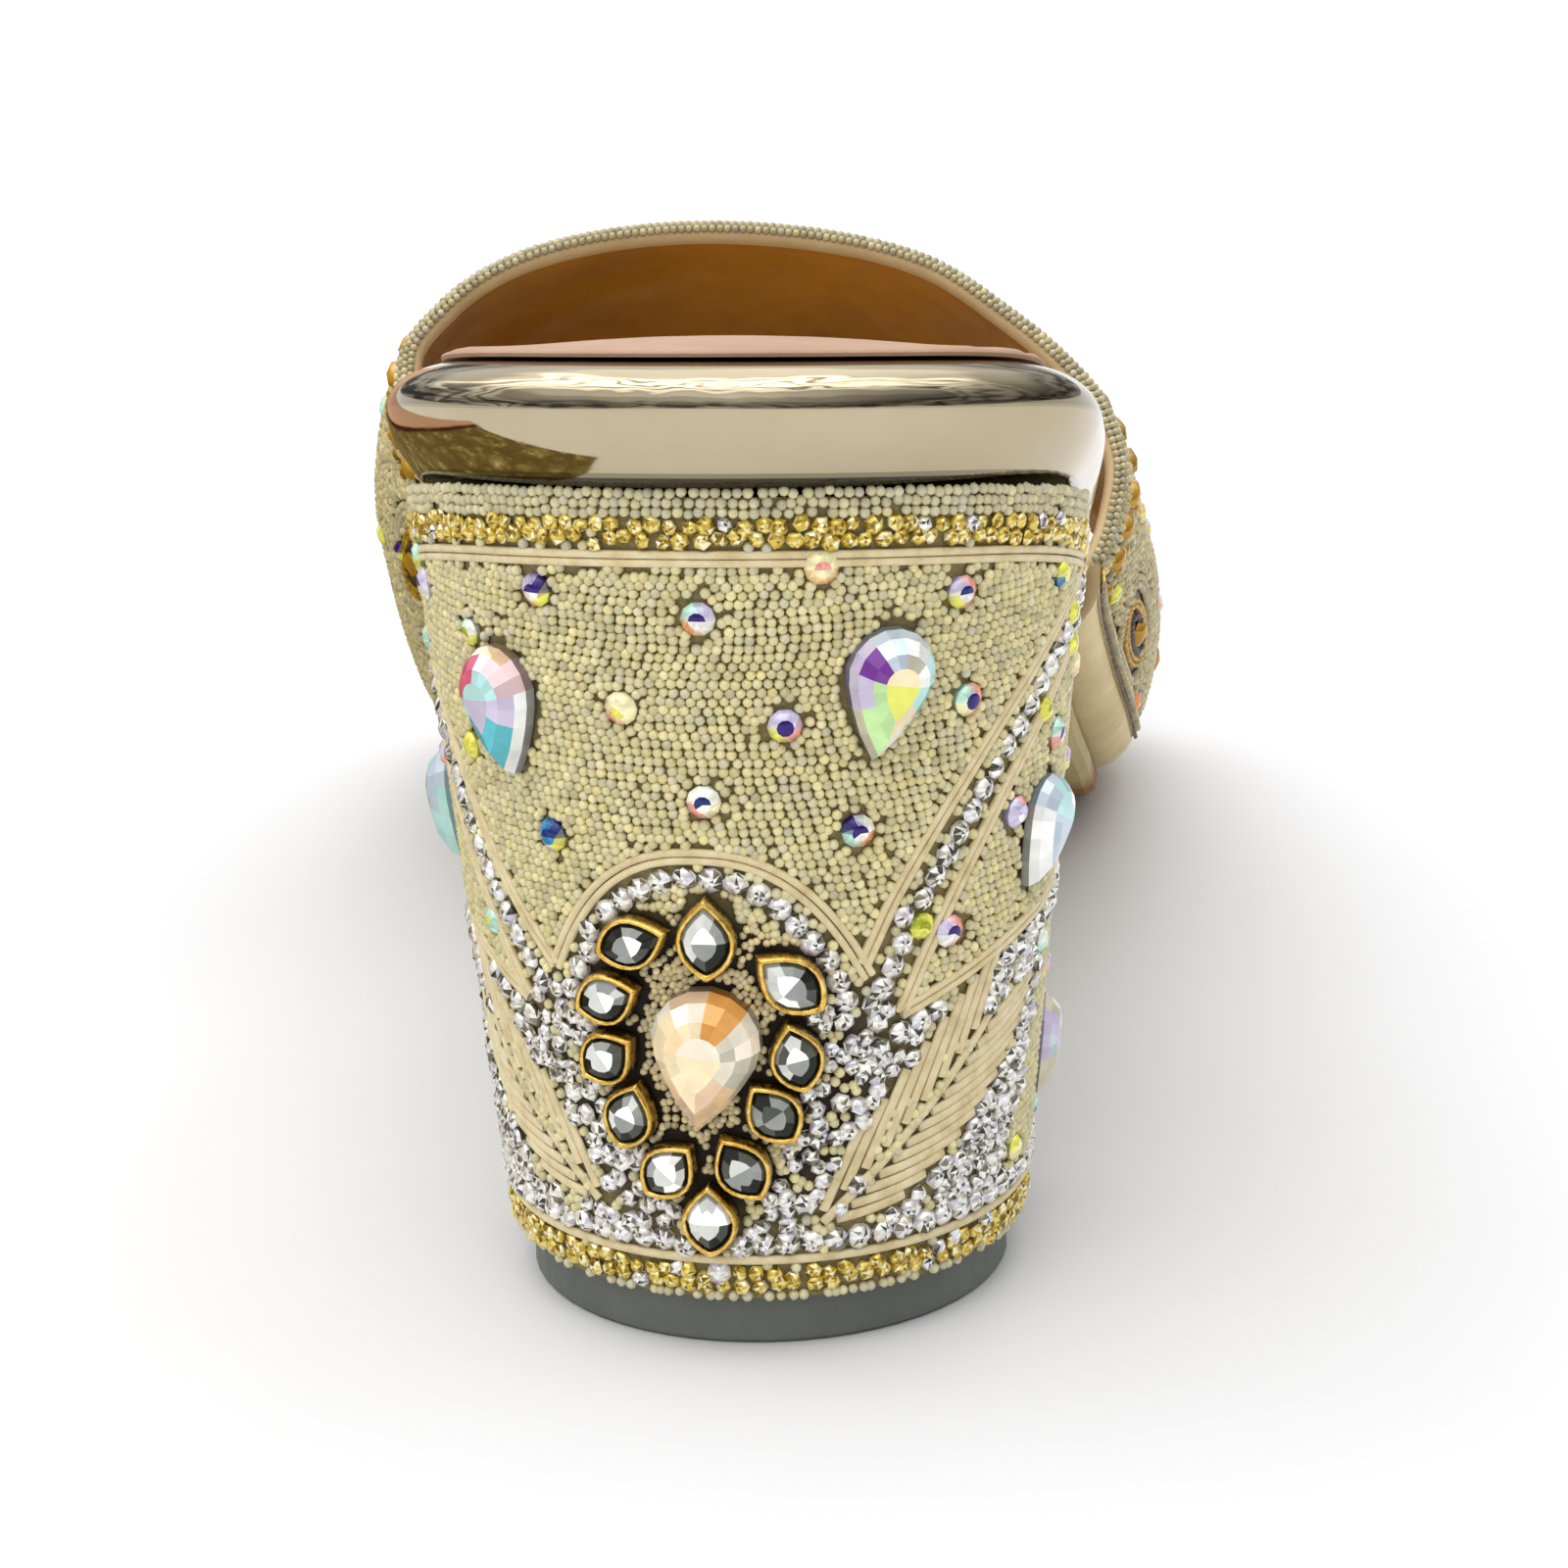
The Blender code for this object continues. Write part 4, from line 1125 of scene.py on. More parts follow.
LEAF_ROWS = (
    # tip_turn, tip_height, lean, length, side
    (-17.0, 11.3, 43.0, 29.0, -1.0),
    (30.5, 12.2, 43.0, 29.0, 1.0),
)
STRIP_STEPS = 8
ROUND_THE_HEEL = np.linspace(-3.1, 3.1, 900)
CORD_POINTS, CORD_FACES = [], []


def arch_knots(drop):
    """The arch over the medallion, moved in by drop millimetres."""
    half = ARCH_HALF - drop / degree_length(40.0)
    offset = np.linspace(half, -half, 17)
    rise = ARCH_RISE * (1.0 - np.abs(offset / half) ** 2.4)
    return [(AXIS_TURN + o, ARCH_FOOT + r - drop) for o, r in zip(offset, rise)]


def under_seat(around, depth):
    """Height on the heel at a depth below the seat."""
    around = np.asarray(around, float)
    height = np.full(around.shape, 66.0)
    for _ in range(6):
        height = seat_under(heel_point(around, height)[:, 1]) - depth
    return height


def level_line(height):
    return np.stack([ROUND_THE_HEEL, np.full(len(ROUND_THE_HEEL), height)], 1)


def seat_line(depth):
    return np.stack([ROUND_THE_HEEL, under_seat(ROUND_THE_HEEL, depth)], 1)


def lay_cord(around, height, offset=0.36, width=0.66, thick=0.62, lift=0.32):
    """Twin cords side by side along a line on the heel, or one where there is no offset."""
    path, normal = heel_point(around, height), heel_normal(around, height)
    across = unit(np.cross(unit(np.gradient(path, axis=0)), normal))
    for side in ((-1.0, 1.0) if offset else (0.0,)):
        points, faces = sweep(path + side * offset * across + lift * normal, normal, width, thick)
        start = sum(len(laid) for laid in CORD_POINTS)
        CORD_POINTS.append(points)
        CORD_FACES.extend([[i + start for i in face] for face in faces])
    take(path, 0.62 if offset else 0.36)


def lay_strip(row, along, across, angle, length, bend, width=0.90):
    """A flat strip of a leaf, from a place beside the midrib out at an angle."""
    turn, height, side = row[0], row[1], row[4]
    lean = math.radians(row[2])
    step = length / STRIP_STEPS
    heading = np.radians(angle - bend * np.arange(STRIP_STEPS) / STRIP_STEPS)
    run = along + np.concatenate([[0.0], np.cumsum(step * np.cos(heading))])
    rise = np.concatenate([[0.0], np.cumsum(step * np.abs(np.sin(heading)))])
    out = across + math.copysign(1.0, across) * rise
    high = height + run * math.sin(lean) - out * math.cos(lean)
    right = run * math.cos(lean) + out * math.sin(lean)
    lay_cord(heel_around(turn + side * right / degree_length(high), high), high, offset=0.0,
             width=width, thick=0.42, lift=0.34)


def lay_leaf(row):
    """A leaf of flat strips: its midrib, and the strips below and above it."""
    lay_strip(row, 0.6, 0.01, 0.0, 0.95 * row[3], 0.0)
    for k, u in enumerate(np.linspace(0.0, 1.0, 14)):
        length = 4.0 + 5.6 * math.sin(math.pi * (0.10 + 0.72 * u)) ** 0.8
        lay_strip(row, 1.6 + 1.72 * k, 0.66, 36.0 - 9.0 * u, length, 9.0, 0.86)
    for k, u in enumerate(np.linspace(0.0, 1.0, 9)):
        length = 7.0 + 2.8 * math.sin(math.pi * (0.1 + 0.8 * u))
        lay_strip(row, 1.4 + 2.5 * k, -0.8, 24.0, length, 3.0)


for knots in (arch_knots(0.0), OUTER_LATERAL, INNER_LATERAL, LOWER_LATERAL, OUTER_MEDIAL,
              INNER_MEDIAL, LOWER_MEDIAL):
    lay_cord(*through(knots, CORD_STEP))
lay_cord(*even(seat_line(TOP_CORD_DEPTH), CORD_STEP))
lay_cord(*even(level_line(FOOT_CORD_HEIGHT), CORD_STEP), offset=0.0, width=0.8, thick=0.6)
for row in LEAF_ROWS:
    lay_leaf(row)
add_mesh("heel_cords", np.concatenate(CORD_POINTS), CORD_FACES, [CORD])


# ---------------------------------------------------------------- stones on the heel
BEAD = bead_shape(8)
CUT = stone_shape(10, 0.5)
CHIP = stone_shape(6, 0.48)
SPARK = stone_shape(9, 0.45)
# the coating's coloured flashes, white highlights and dark spots are painted reflections
FLASHES = {
    "V": (0.028, 0.008, 0.15), "L": (0.60, 0.55, 0.74), "Y": (0.80, 0.78, 0.12),
    "O": (0.86, 0.34, 0.12), "W": (0.88, 0.88, 0.80), "M": (0.50, 0.80, 0.66),
    "N": (0.010, 0.025, 0.15), "G": (0.84, 0.58, 0.28), "C": (0.03, 0.25, 0.50),
    "P": (0.84, 0.34, 0.27), "D": (0.34, 0.38, 0.02), "E": (0.88, 0.82, 0.48),
}
COATED_ROWS = (
    # turn, height, flashes: upper lateral, upper medial, lower medial, lower lateral, table, spot
    (31.5, 67.3, "VLPYWV"), (2.0, 66.0, "LMOWWV"), (-18.5, 70.0, "EEGGEP"), (-44.5, 66.2, "PLYPWN"),
    (16.5, 58.0, "EEPEYE"), (-12.0, 56.7, "LLYPVV"), (-47.0, 56.7, "PMEPVV"), (2.5, 50.2, "WWPEWN"),
    (33.5, 45.8, "NCLYCN"), (-25.0, 47.0, "WVMOWV"), (-62.5, 45.0, "PLLPWL"), (-45.0, 36.4, "PLWPWV"),
    (-78.0, 50.0, "WMPYWV"), (70.0, 64.0, "LMOWWV"), (84.0, 47.0, "LLYPVV"), (104.0, 50.0, "EEPEYE"),
    (-108.0, 52.0, "EEGGEP"), (-118.0, 42.0, "PLYPWN"), (112.0, 42.0, "WVMOWV"),
    (-112.0, 24.0, "VLPYWV"), (108.0, 24.0, "WWPEWN"),
)
SMALL_ROWS = (
    # turn, height, flashes
    (-74.0, 64.5, "YYCYYY"), (-71.0, 53.0, "YYYYYD"), (-83.0, 60.0, "YYYYYD"),
    (-85.0, 57.0, "DYYDYD"), (50.5, 62.0, "WMYYED"), (55.5, 51.5, "YYYYYY"), (56.5, 35.5, "MMYMMY"),
    (-80.0, 31.0, "WWMWWM"), (-73.0, 12.7, "YYEYYW"), (74.0, 66.0, "MMCYMC"), (80.0, 58.0, "MYDMYM"),
    (-100.0, 12.5, "MMCYMC"), (-38.5, 37.5, "YDYYYD"), (100.0, 12.5, "MYDMYM"),
)
STONE_LIFT = 0.4
COATED_RADIUS = 1.46
SMALL_RADIUS = 1.2
# the palettes' near-black and near-white facets paint the stones' sparkle: painted reflections and
# highlights
SILVER_PALETTE = ((0.96, 0.95, 0.90), (0.86, 0.83, 0.74), (0.60, 0.56, 0.46), (0.06, 0.055, 0.035),
                  (0.94, 0.94, 0.96), (0.62, 0.58, 0.66), (0.22, 0.20, 0.14), (0.90, 0.88, 0.80))
AMBER_PALETTE = ((0.74, 0.54, 0.09), (0.56, 0.38, 0.03), (0.20, 0.12, 0.01), (0.92, 0.78, 0.28),
                 (0.64, 0.46, 0.06), (0.95, 0.90, 0.60), (0.32, 0.20, 0.01), (0.84, 0.66, 0.16))
SILVER_FIELDS = (
    # corners of (turn, height): beside the medallion on each side, then outside each leaf
    [(-17.0, 41.0), (-26.5, 34.6), (-34.5, 29.5), (-49.0, 31.0), (-73.0, 33.5), (-66.0, 30.0),
     (-47.0, 25.5), (-30.0, 18.5), (-19.0, 10.0), (4.0, 9.0), (-8.0, 19.5), (-14.0, 25.0),
     (-18.0, 36.0)],
    [(27.0, 40.0), (36.5, 33.6), (46.0, 29.5), (60.0, 31.0), (80.0, 33.5), (72.0, 29.0),
     (58.0, 25.5), (42.0, 19.0), (31.0, 10.0), (6.0, 9.0), (18.0, 19.5), (27.0, 25.0), (28.0, 36.0)],
    [(-66.0, 29.0), (-56.0, 19.0), (-42.0, 12.0), (-24.0, 9.5), (-64.0, 9.5), (-74.0, 20.0),
     (-78.0, 32.0)],
    [(78.0, 29.0), (66.0, 19.0), (54.0, 12.0), (37.0, 9.5), (74.0, 9.5), (84.0, 20.0), (88.0, 32.0)],
)
AMBER_LINES = (("top_amber", (seat_line(2.25), seat_line(3.35))),
               ("foot_amber", (level_line(7.15), level_line(6.1))))


def stone_tints(count, palette, shape):
    """A colour for every facet of every small stone, drawn from a palette."""
    faces = len(shape[1])
    palette = np.asarray(palette, float)
    picks = palette[RANDOM.integers(0, len(palette), (count, faces))]
    return np.clip(picks * RANDOM.uniform(0.88, 1.12, (count, faces, 1)), 0.0, 1.2)


def flash_tints(rows):
    """Facets of coated stones, painted with the coating's reflections: colours blending round the crown,
    a table and a dark spot in it.
    """
    verts, faces = CUT
    middles = verts[faces].mean(1)
    turn = np.degrees(np.arctan2(middles[:, 1], middles[:, 0])) % 360.0
    reach = np.linalg.norm(middles[:, :2], axis=1)[:, None]
    quarter = (turn - 45.0) / 90.0 % 4.0
    share = ramp(0.15, 0.85, quarter % 1.0)[:, None]
    tints = []
    for _, _, letters in rows:
        flashes = np.array([FLASHES[letter] for letter in letters])
        near, far = flashes[quarter.astype(int)], flashes[(quarter.astype(int) + 1) % 4]
        spot = np.abs((turn - RANDOM.uniform(60.0, 130.0) + 180.0) % 360.0 - 180.0) < 100.0
        table = np.where(spot[:, None], flashes[5], flashes[4])
        chosen = np.where(reach < 0.42, table, near * (1.0 - share) + far * share)
        # painted shade on the girdle
        chosen = np.where(reach > 0.9, 0.45 * chosen, chosen)
        tints.append(chosen * RANDOM.uniform(0.78, 1.15, (len(faces), 1)))
    return np.clip(np.array(tints), 0.0, 1.0)


def lay_stones(name, shape, places, radius, tints, material, spare, tip=0.0, spin=None):
    """Cut stones on the heel, each tipped a little so that they catch the light apart. What comes
    later keeps clear of their radius and a spare margin."""
    points, normals = heel_point(*places), heel_normal(*places)
    radius = np.broadcast_to(radius, len(points))
    tipped = unit(normals + RANDOM.normal(0.0, tip, normals.shape)) if tip else normals
    scatter(name, shape, points + STONE_LIFT * normals, tipped, radius, material,
            tints, spin)
    for point, size in zip(points, radius):
        take(point, size + spare)


def between_lines(first, second, step):
    """Places a step apart along the line half-way between two lines of knots."""
    u = np.linspace(0.0, 1.0, 400)
    lines = []
    for knots in (first, second):
        around, height = through(knots, 0.25)
        at = np.linspace(0.0, 1.0, len(around))
        lines.append(np.stack([np.interp(u, at, around), np.interp(u, at, height)], 1))
    return even(0.5 * (lines[0] + lines[1]), step)


def silver_rows():
    """Rows of silver stones: along the arch, up the strips and round the foot of the heel."""
    lines = [through(arch_knots(1.95), 2.1), between_lines(OUTER_LATERAL, INNER_LATERAL, 2.1),
             between_lines(OUTER_MEDIAL, INNER_MEDIAL, 2.1)]
    for knots in (LOWER_LATERAL, LOWER_MEDIAL):
        lines.append(through([(turn, height - 1.8) for turn, height in knots], 2.05))
    lines.append(even(level_line(FOOT_CORD_HEIGHT + 1.5), 2.05))
    return np.concatenate(lines, 1)


def inside(polygon, turn, height):
    """True where a place lies in a polygon of (turn, height) corners."""
    result = np.zeros(len(turn), bool)
    for (x1, y1), (x2, y2) in zip(polygon, polygon[1:] + polygon[:1]):
        crosses = (y1 > height) != (y2 > height)
        edge = x1 + (height - y1) * (x2 - x1) / (y2 - y1 if y2 != y1 else 1e-9)
        result ^= crosses & (turn < edge)
    return result


def lattice_in(polygon, step):
    """Places a step apart, in staggered rows, inside a field."""
    turns, heights = zip(*polygon)
    places = []
    for number, height in enumerate(np.arange(min(heights), max(heights), step * 0.87)):
        pitch = step / degree_length(height)
        turn = np.arange(min(turns) + (number % 2) * 0.5 * pitch, max(turns), pitch)
        places.append(np.stack([turn, np.full(len(turn), height)]))
    turn, height = np.concatenate(places, 1)
    keep = inside(polygon, turn, height)
    return np.stack([heel_around(turn[keep], height[keep]), height[keep]])


def settle(places, pitch, margin, rounds, overlap=0.28):
    """Pushes places on the heel apart and off what lies there, then drops those still too near."""
    around, height = places
    taken, widest = tree_of([point for point, _ in TAKEN]), max(size for _, size in TAKEN)
    for turn in range(rounds + 1):
        points = heel_point(around, height)
        tree = tree_of(points)
        push = np.zeros((len(points), 3))
        crowded = np.zeros(len(points), bool)
        for index, point in enumerate(points):
            here = Vector(point)
            for place, other, distance in tree.find_range(here, pitch):
                if other != index and distance > 1e-6:
                    push[index] += (here - place) * (0.5 * (pitch - distance) / distance)
                    if other < index and distance < pitch * (1.0 - overlap) and not crowded[other]:
                        crowded[index] = True
            for place, other, distance in taken.find_range(here, widest + margin):
                need = TAKEN[other][1] + margin
                if distance < need:
                    push[index] += (here - place) * ((need - distance) / max(distance, 0.2))
                    crowded[index] |= distance < need - 0.3 * margin
        if turn == rounds:
            return np.stack([around[~crowded], height[~crowded]])
        ahead = (heel_point(around + 0.01, height) - heel_point(around - 0.01, height)) / 0.02
        up = (heel_point(around, height + 0.2) - heel_point(around, height - 0.2)) / 0.4
        around = around + np.sum(push * ahead, 1) / np.sum(ahead * ahead, 1)
        height = height + np.sum(push * up, 1) / np.sum(up * up, 1)
        height = np.maximum(height, HEEL_FOOT + 0.35)


def lay_coated_stones():
    for name, rows, radius in (("ab_stones", COATED_ROWS, COATED_RADIUS),
                               ("small_stones", SMALL_ROWS, SMALL_RADIUS)):
        turn, height = np.array([row[:2] for row in rows]).T
        lay_stones(name, CUT, (heel_around(turn, height), height), radius, flash_tints(rows), CRYSTAL,
                   0.05, spin=np.zeros(len(rows)))


def lay_silver():
    """Silver stones: neat rows beside the cords, and loose ones that fill the fields."""
    places = settle(silver_rows(), 1.95, 0.78, 2)
    count = places.shape[1]
    lay_stones("silver_rows", SPARK, places, RANDOM.uniform(1.04, 1.15, count),
               stone_tints(count, SILVER_PALETTE, SPARK), SILVER, -0.12, 0.12)
    places = np.concatenate([lattice_in(polygon, 1.50) for polygon in SILVER_FIELDS], 1)
    places += RANDOM.normal(0.0, 1.0, places.T.shape).T * np.array([[0.007], [0.22]])
    places = settle(places, 1.54, 0.66, 7)
    count = places.shape[1]
    lay_stones("silver_field", CHIP, places, RANDOM.uniform(0.74, 1.05, count),
               stone_tints(count, SILVER_PALETTE, CHIP), SILVER, -0.08, 0.22)


def lay_amber():
    """Two crowded rows of amber stones under the seat and two at the foot, a few of them silver."""
    for name, lines in AMBER_LINES:
        for number, line in enumerate(lines):
            around, height = even(line, 1.5)
            count = len(around)
            around = around + (0.5 * number + RANDOM.normal(0.0, 0.12, count)) * 0.03
            height = height + RANDOM.normal(0.0, 0.16, count)
            tints = np.where(RANDOM.random((count, 1, 1)) < 0.08,
                             stone_tints(count, SILVER_PALETTE, CHIP),
                             stone_tints(count, AMBER_PALETTE, CHIP))
            lay_stones(f"{name}_{number + 1}", CHIP, (around, height),
                       RANDOM.uniform(0.68, 0.88, count), tints, AMBER, -0.06, 0.25)


lay_coated_stones()
lay_silver()
lay_amber()


# ---------------------------------------------------------------- seed beads on the heel
BEAD_STEP = 0.88
CREAM = np.array([0.74, 0.66, 0.355])
PLAIN_TOP = 74.0
AMBER_FOOT_TOP = 7.6
MEDALLION_MIDDLE = 28.0
MEDALLION_HALF = (8.6, 12.6)
AROUND_LENGTH = 39.0


def seed_tints(count, base=CREAM, spread=0.10):
    """Cream beads, some greener, some clearer and greyer."""
    tint = np.repeat(base[None], count, 0) * RANDOM.normal(1.0, spread, (count, 1))
    lean = RANDOM.normal(0.0, 0.035, (count, 1))
    tint = tint * (1.0 + lean * np.array([[0.6, 0.2, -1.6]]))
    clear = RANDOM.random(count) < 0.06
    tint[clear] = 0.6 * tint[clear] + 0.4 * np.array([0.62, 0.60, 0.50])
    return np.clip(tint, 0.02, 0.95)


def heel_lattice():
    """Rows of beads round the heel below the top cord, each row set half a bead on."""
    rows = []
    below_cord = under_seat(ROUND_THE_HEEL, TOP_CORD_DEPTH)
    for number, height in enumerate(np.arange(HEEL_FOOT + 0.35, PLAIN_TOP, BEAD_STEP * 0.86)):
        line = ROUND_THE_HEEL[height < below_cord]
        if not len(line):
            continue
        length = length_along(heel_point(line, height))
        want = np.arange(0.5 * BEAD_STEP * (number % 2), length[-1], BEAD_STEP)
        around = np.interp(want, length, line)
        # the seat slopes, so high rows reach round only part of the heel
        for gap in np.flatnonzero(np.diff(line) > 0.1)[:1]:
            around = around[(around <= line[gap]) | (around >= line[gap + 1])]
        rows.append(np.stack([around, np.full(len(around), height)]))
    for depth in (-0.4, 0.45, 1.25, 2.8, 4.1):
        rows.append(even(seat_line(depth), BEAD_STEP))
    return np.concatenate(rows, 1)


def in_medallion(places, share):
    """True for places on the heel within an oval round the central jewel."""
    across = (places[0] - heel_around(AXIS_TURN, 27.0)) * AROUND_LENGTH / MEDALLION_HALF[0]
    return np.hypot(across, (places[1] - MEDALLION_MIDDLE) / MEDALLION_HALF[1]) < share


def lay_seeds(name, places, lift, low, high, tints):
    """Seed beads on the heel. The tints follow from their number."""
    points, normals = heel_point(*places), heel_normal(*places)
    sizes = RANDOM.uniform(low, high, len(points))
    scatter(name, BEAD, points + lift * normals, normals, sizes, SEED,
            tints(len(points)))


def lay_heel_seeds():
    """The heel's cover of seed beads, greyer along its top and foot."""
    places = heel_lattice()
    places = places[:, ~in_medallion(places, 1.0)]
    places[1] += RANDOM.normal(0.0, 0.09, places.shape[1])
    places[0] += RANDOM.normal(0.0, 0.0028, places.shape[1])
    around, height = settle(places, 0.84, 0.42, 2, 0.36)
    trim = (under_seat(around, 0.0) - height < TOP_CORD_DEPTH) | (height < AMBER_FOOT_TOP)

    def tints(count):
        plain = seed_tints(count)
        plain[trim] = 0.78 * plain[trim] + 0.09
        return plain

    lay_seeds("seed_beads", (around, height), 0.24, 0.455, 0.515, tints)


def lay_medallion_seeds():
    """Finer beads between the jewels of the medallion."""
    pitch = 0.018
    across, height = np.meshgrid(np.arange(-0.24, 0.24, pitch), np.arange(14.5, 41.5, 0.64))
    across[1::2] += 0.5 * pitch
    places = np.stack([heel_around(AXIS_TURN, 27.0) + across.ravel(), height.ravel()])
    places = places[:, in_medallion(places, 1.03)]
    places += RANDOM.normal(0.0, 1.0, places.T.shape).T * np.array([[0.0016], [0.06]])
    lay_seeds("medallion_seeds", settle(places, 0.66, 0.16, 3, 0.34), 0.3, 0.34, 0.40,
              lambda count: seed_tints(count, CREAM * np.array([0.96, 0.90, 0.92]), 0.18))


lay_heel_seeds()
lay_medallion_seeds()


# ---------------------------------------------------------------- beads on the upper
SAGE = np.array([0.42, 0.36, 0.19])
OVAL_GOLD = (0.46, 0.25, 0.02)
WIRE_GOLD = (0.50, 0.29, 0.02)
HEART_GOLD = (0.50, 0.27, 0.02)
SEQUIN_GOLD = (0.62, 0.42, 0.06)
LEAF_BROWN = (0.045, 0.022, 0.010)
BORDER_BROWN = (0.15, 0.105, 0.04)
OVALS_END = 0.84
BORDER_BEHIND_TOE = 3.2
OVAL_ROWS = (
    # offset from the topline, step, bead's size
    (3.6, 3.7, (0.95, 1.7, 1.0)),
    (6.2, 2.4, (0.62, 0.8, 0.6)),
)
MEDALLIONS = (
    # around, back, half_around, half_back, turned
    (0.63, 124.0, 6.0, 9.0, 0.0), (-0.685, 129.0, 5.4, 11.0, 0.0),
    (0.47, 146.0, 6.5, 8.2, 25.0), (-0.45, 146.0, 6.5, 8.2, -25.0),
    (0.16, 148.0, 5.6, 7.4, 10.0), (-0.15, 148.0, 5.6, 7.4, -10.0),
    (0.64, 161.0, 5.6, 8.2, 15.0), (-0.64, 161.0, 5.4, 8.0, -15.0),
)
UPPER_STONES = (
    # around, back, flashes
    (0.665, 120.0, "DYYDYD"), (0.700, 112.5, "LVLLLV"), (0.60, 128.0, "VOOYLV"),
    (0.55, 136.0, "YWOYYW"), (0.32, 140.0, "LLYOLV"), (0.32, 156.0, "NWOYWN"),
    (0.0, 140.0, "VMOWLV"), (0.0, 156.0, "WVMOWV"), (-0.32, 140.0, "YWOYYW"),
    (-0.32, 156.0, "VMOWLV"), (-0.55, 134.0, "LLYOLV"), (-0.585, 121.0, "GGYYOG"),
    (-0.705, 111.5, "DYYDYD"), (-0.58, 150.0, "NWOYWN"), (0.60, 152.0, "WVMOWV"),
    (-0.755, 142.0, "VOOYLV"), (0.76, 137.0, "YDYYYD"), (0.42, 130.0, "MDYMMC"),
    (-0.42, 130.0, "MYDMYM"), (0.16, 136.0, "YDYYYD"), (-0.16, 136.0, "YDYYYD"),
)
UPPER_STONE_RADIUS = 1.25
UPPER_TAKEN = []


def hold(around, back, radius):
    """Keeps the seed beads off places on the upper."""
    points = np.atleast_2d(upper_point(back, around))
    UPPER_TAKEN.extend((Vector(point), float(radius)) for point in points)


def varied(colour, low, high, count):
    """A colour per copy, each a little darker or lighter."""
    return np.array([colour]) * RANDOM.uniform(low, high, (count, 1))


def lay_on_upper(name, shape, around, back, radius, tints, material, lift=0.24, spin=None,
                 slot="gold_leather"):
    """Copies of a shape on the upper. The radius is a number, a number per copy, or the three sizes
    that all the copies have."""
    normals = upper_normal(back, around)
    points = upper_point(back, around) + normals * (upper_creases(back, around) + lift)[:, None]
    if np.ndim(radius) == 0 or len(radius) == 3:
        radius = np.repeat([radius], len(points), 0)
    scatter(name, shape, points, normals, radius, material, tints, spin)


def evenly(points, step, start=0.0):
    """Fractions of a dense line's index, a step apart along it."""
    length = length_along(points)
    return np.interp(np.arange(start, length[-1], step), length, np.arange(len(points)))


def picked(at, *lines):
    """The values of dense lines at fractions of their index."""
    return [np.interp(at, np.arange(len(line)), line) for line in lines]


def along_topline(offset, step):
    """Places a step apart along the upper, an offset in front of its topline."""
    line = np.linspace(-OVALS_END, OVALS_END, 600)
    around, = picked(evenly(upper_point(topline(line) + offset, line), step), line)
    return around, topline(around) + offset


def upper_offset(centre, x, y):
    """A place on the upper, x millimetres round it and y towards the toe from a centre."""
    around, back = centre
    wide = np.linalg.norm(upper_point(back, around + 0.01) - upper_point(back, around - 0.01)) / 0.02
    deep = np.linalg.norm(upper_point(back + 1.0, around) - upper_point(back - 1.0, around)) / 2.0
    return around + x / wide, back + y / deep


def upper_ring(centre, half_around, half_back, step, turned):
    """Places a step apart round a turned oval on the upper, its halves in millimetres."""
    turn = np.linspace(0.0, 2.0 * math.pi, 240)
    x, y = half_around * np.cos(turn), half_back * np.sin(turn)
    slope = math.radians(turned)
    around, back = upper_offset(centre, x * math.cos(slope) - y * math.sin(slope),
                                x * math.sin(slope) + y * math.cos(slope))
    return picked(evenly(upper_point(back, around), step)[:-1], around, back)


def bind_topline():
    """The rolled topline, half of it bound with beads."""
    line = np.linspace(-0.715, 0.715, 900)
    back, bead = topline(line), 0.42
    outer, normal = upper_point(back, line), upper_normal(back, line)
    ahead = unit(upper_point(back + 0.2, line) - upper_point(back - 0.2, line))
    points, normals = [], []
    for number, turn in enumerate((12.0, 44.0, 76.0)):
        c, s = math.cos(math.radians(turn)), math.sin(math.radians(turn))
        row = outer - 0.5 * WALL * normal + c * normal - 0.9 * s * ahead
        at = evenly(row, 0.8, 0.4 * (number % 2))
        place, out = (np.stack(picked(at, *values.T), 1) for values in (row, c * normal - s * ahead))
        points.append(place + 0.2 * out)
        normals.append(unit(out))
    points = np.concatenate(points)
    scatter("topline_binding", BEAD, points, np.concatenate(normals), np.full(len(points), bead),
            SEED, seed_tints(len(points), SAGE, 0.14))


def lay_ovals():
    """Amber ovals along the topline, and a finer row in front of them."""
    for number, (offset, step, size) in enumerate(OVAL_ROWS):
        around, back = along_topline(offset, step)
        keep = np.abs(around) < EMBROIDERED - 0.02
        around, back = around[keep], back[keep]
        heading = np.gradient(upper_point(back, around), axis=0)
        side, rise = axes_from(upper_normal(back, around))
        spin = np.arctan2(-np.sum(heading * side, 1), np.sum(heading * rise, 1))
        lay_on_upper(f"topline_ovals_{number + 1}", BEAD, around, back, size,
                     varied(OVAL_GOLD, 0.6, 1.3, len(around)), AMBER, 0.4, spin)
        hold(around, back, size[0] + 0.1)
    hold(*along_topline(OVAL_ROWS[0][0], 1.2), 0.9)


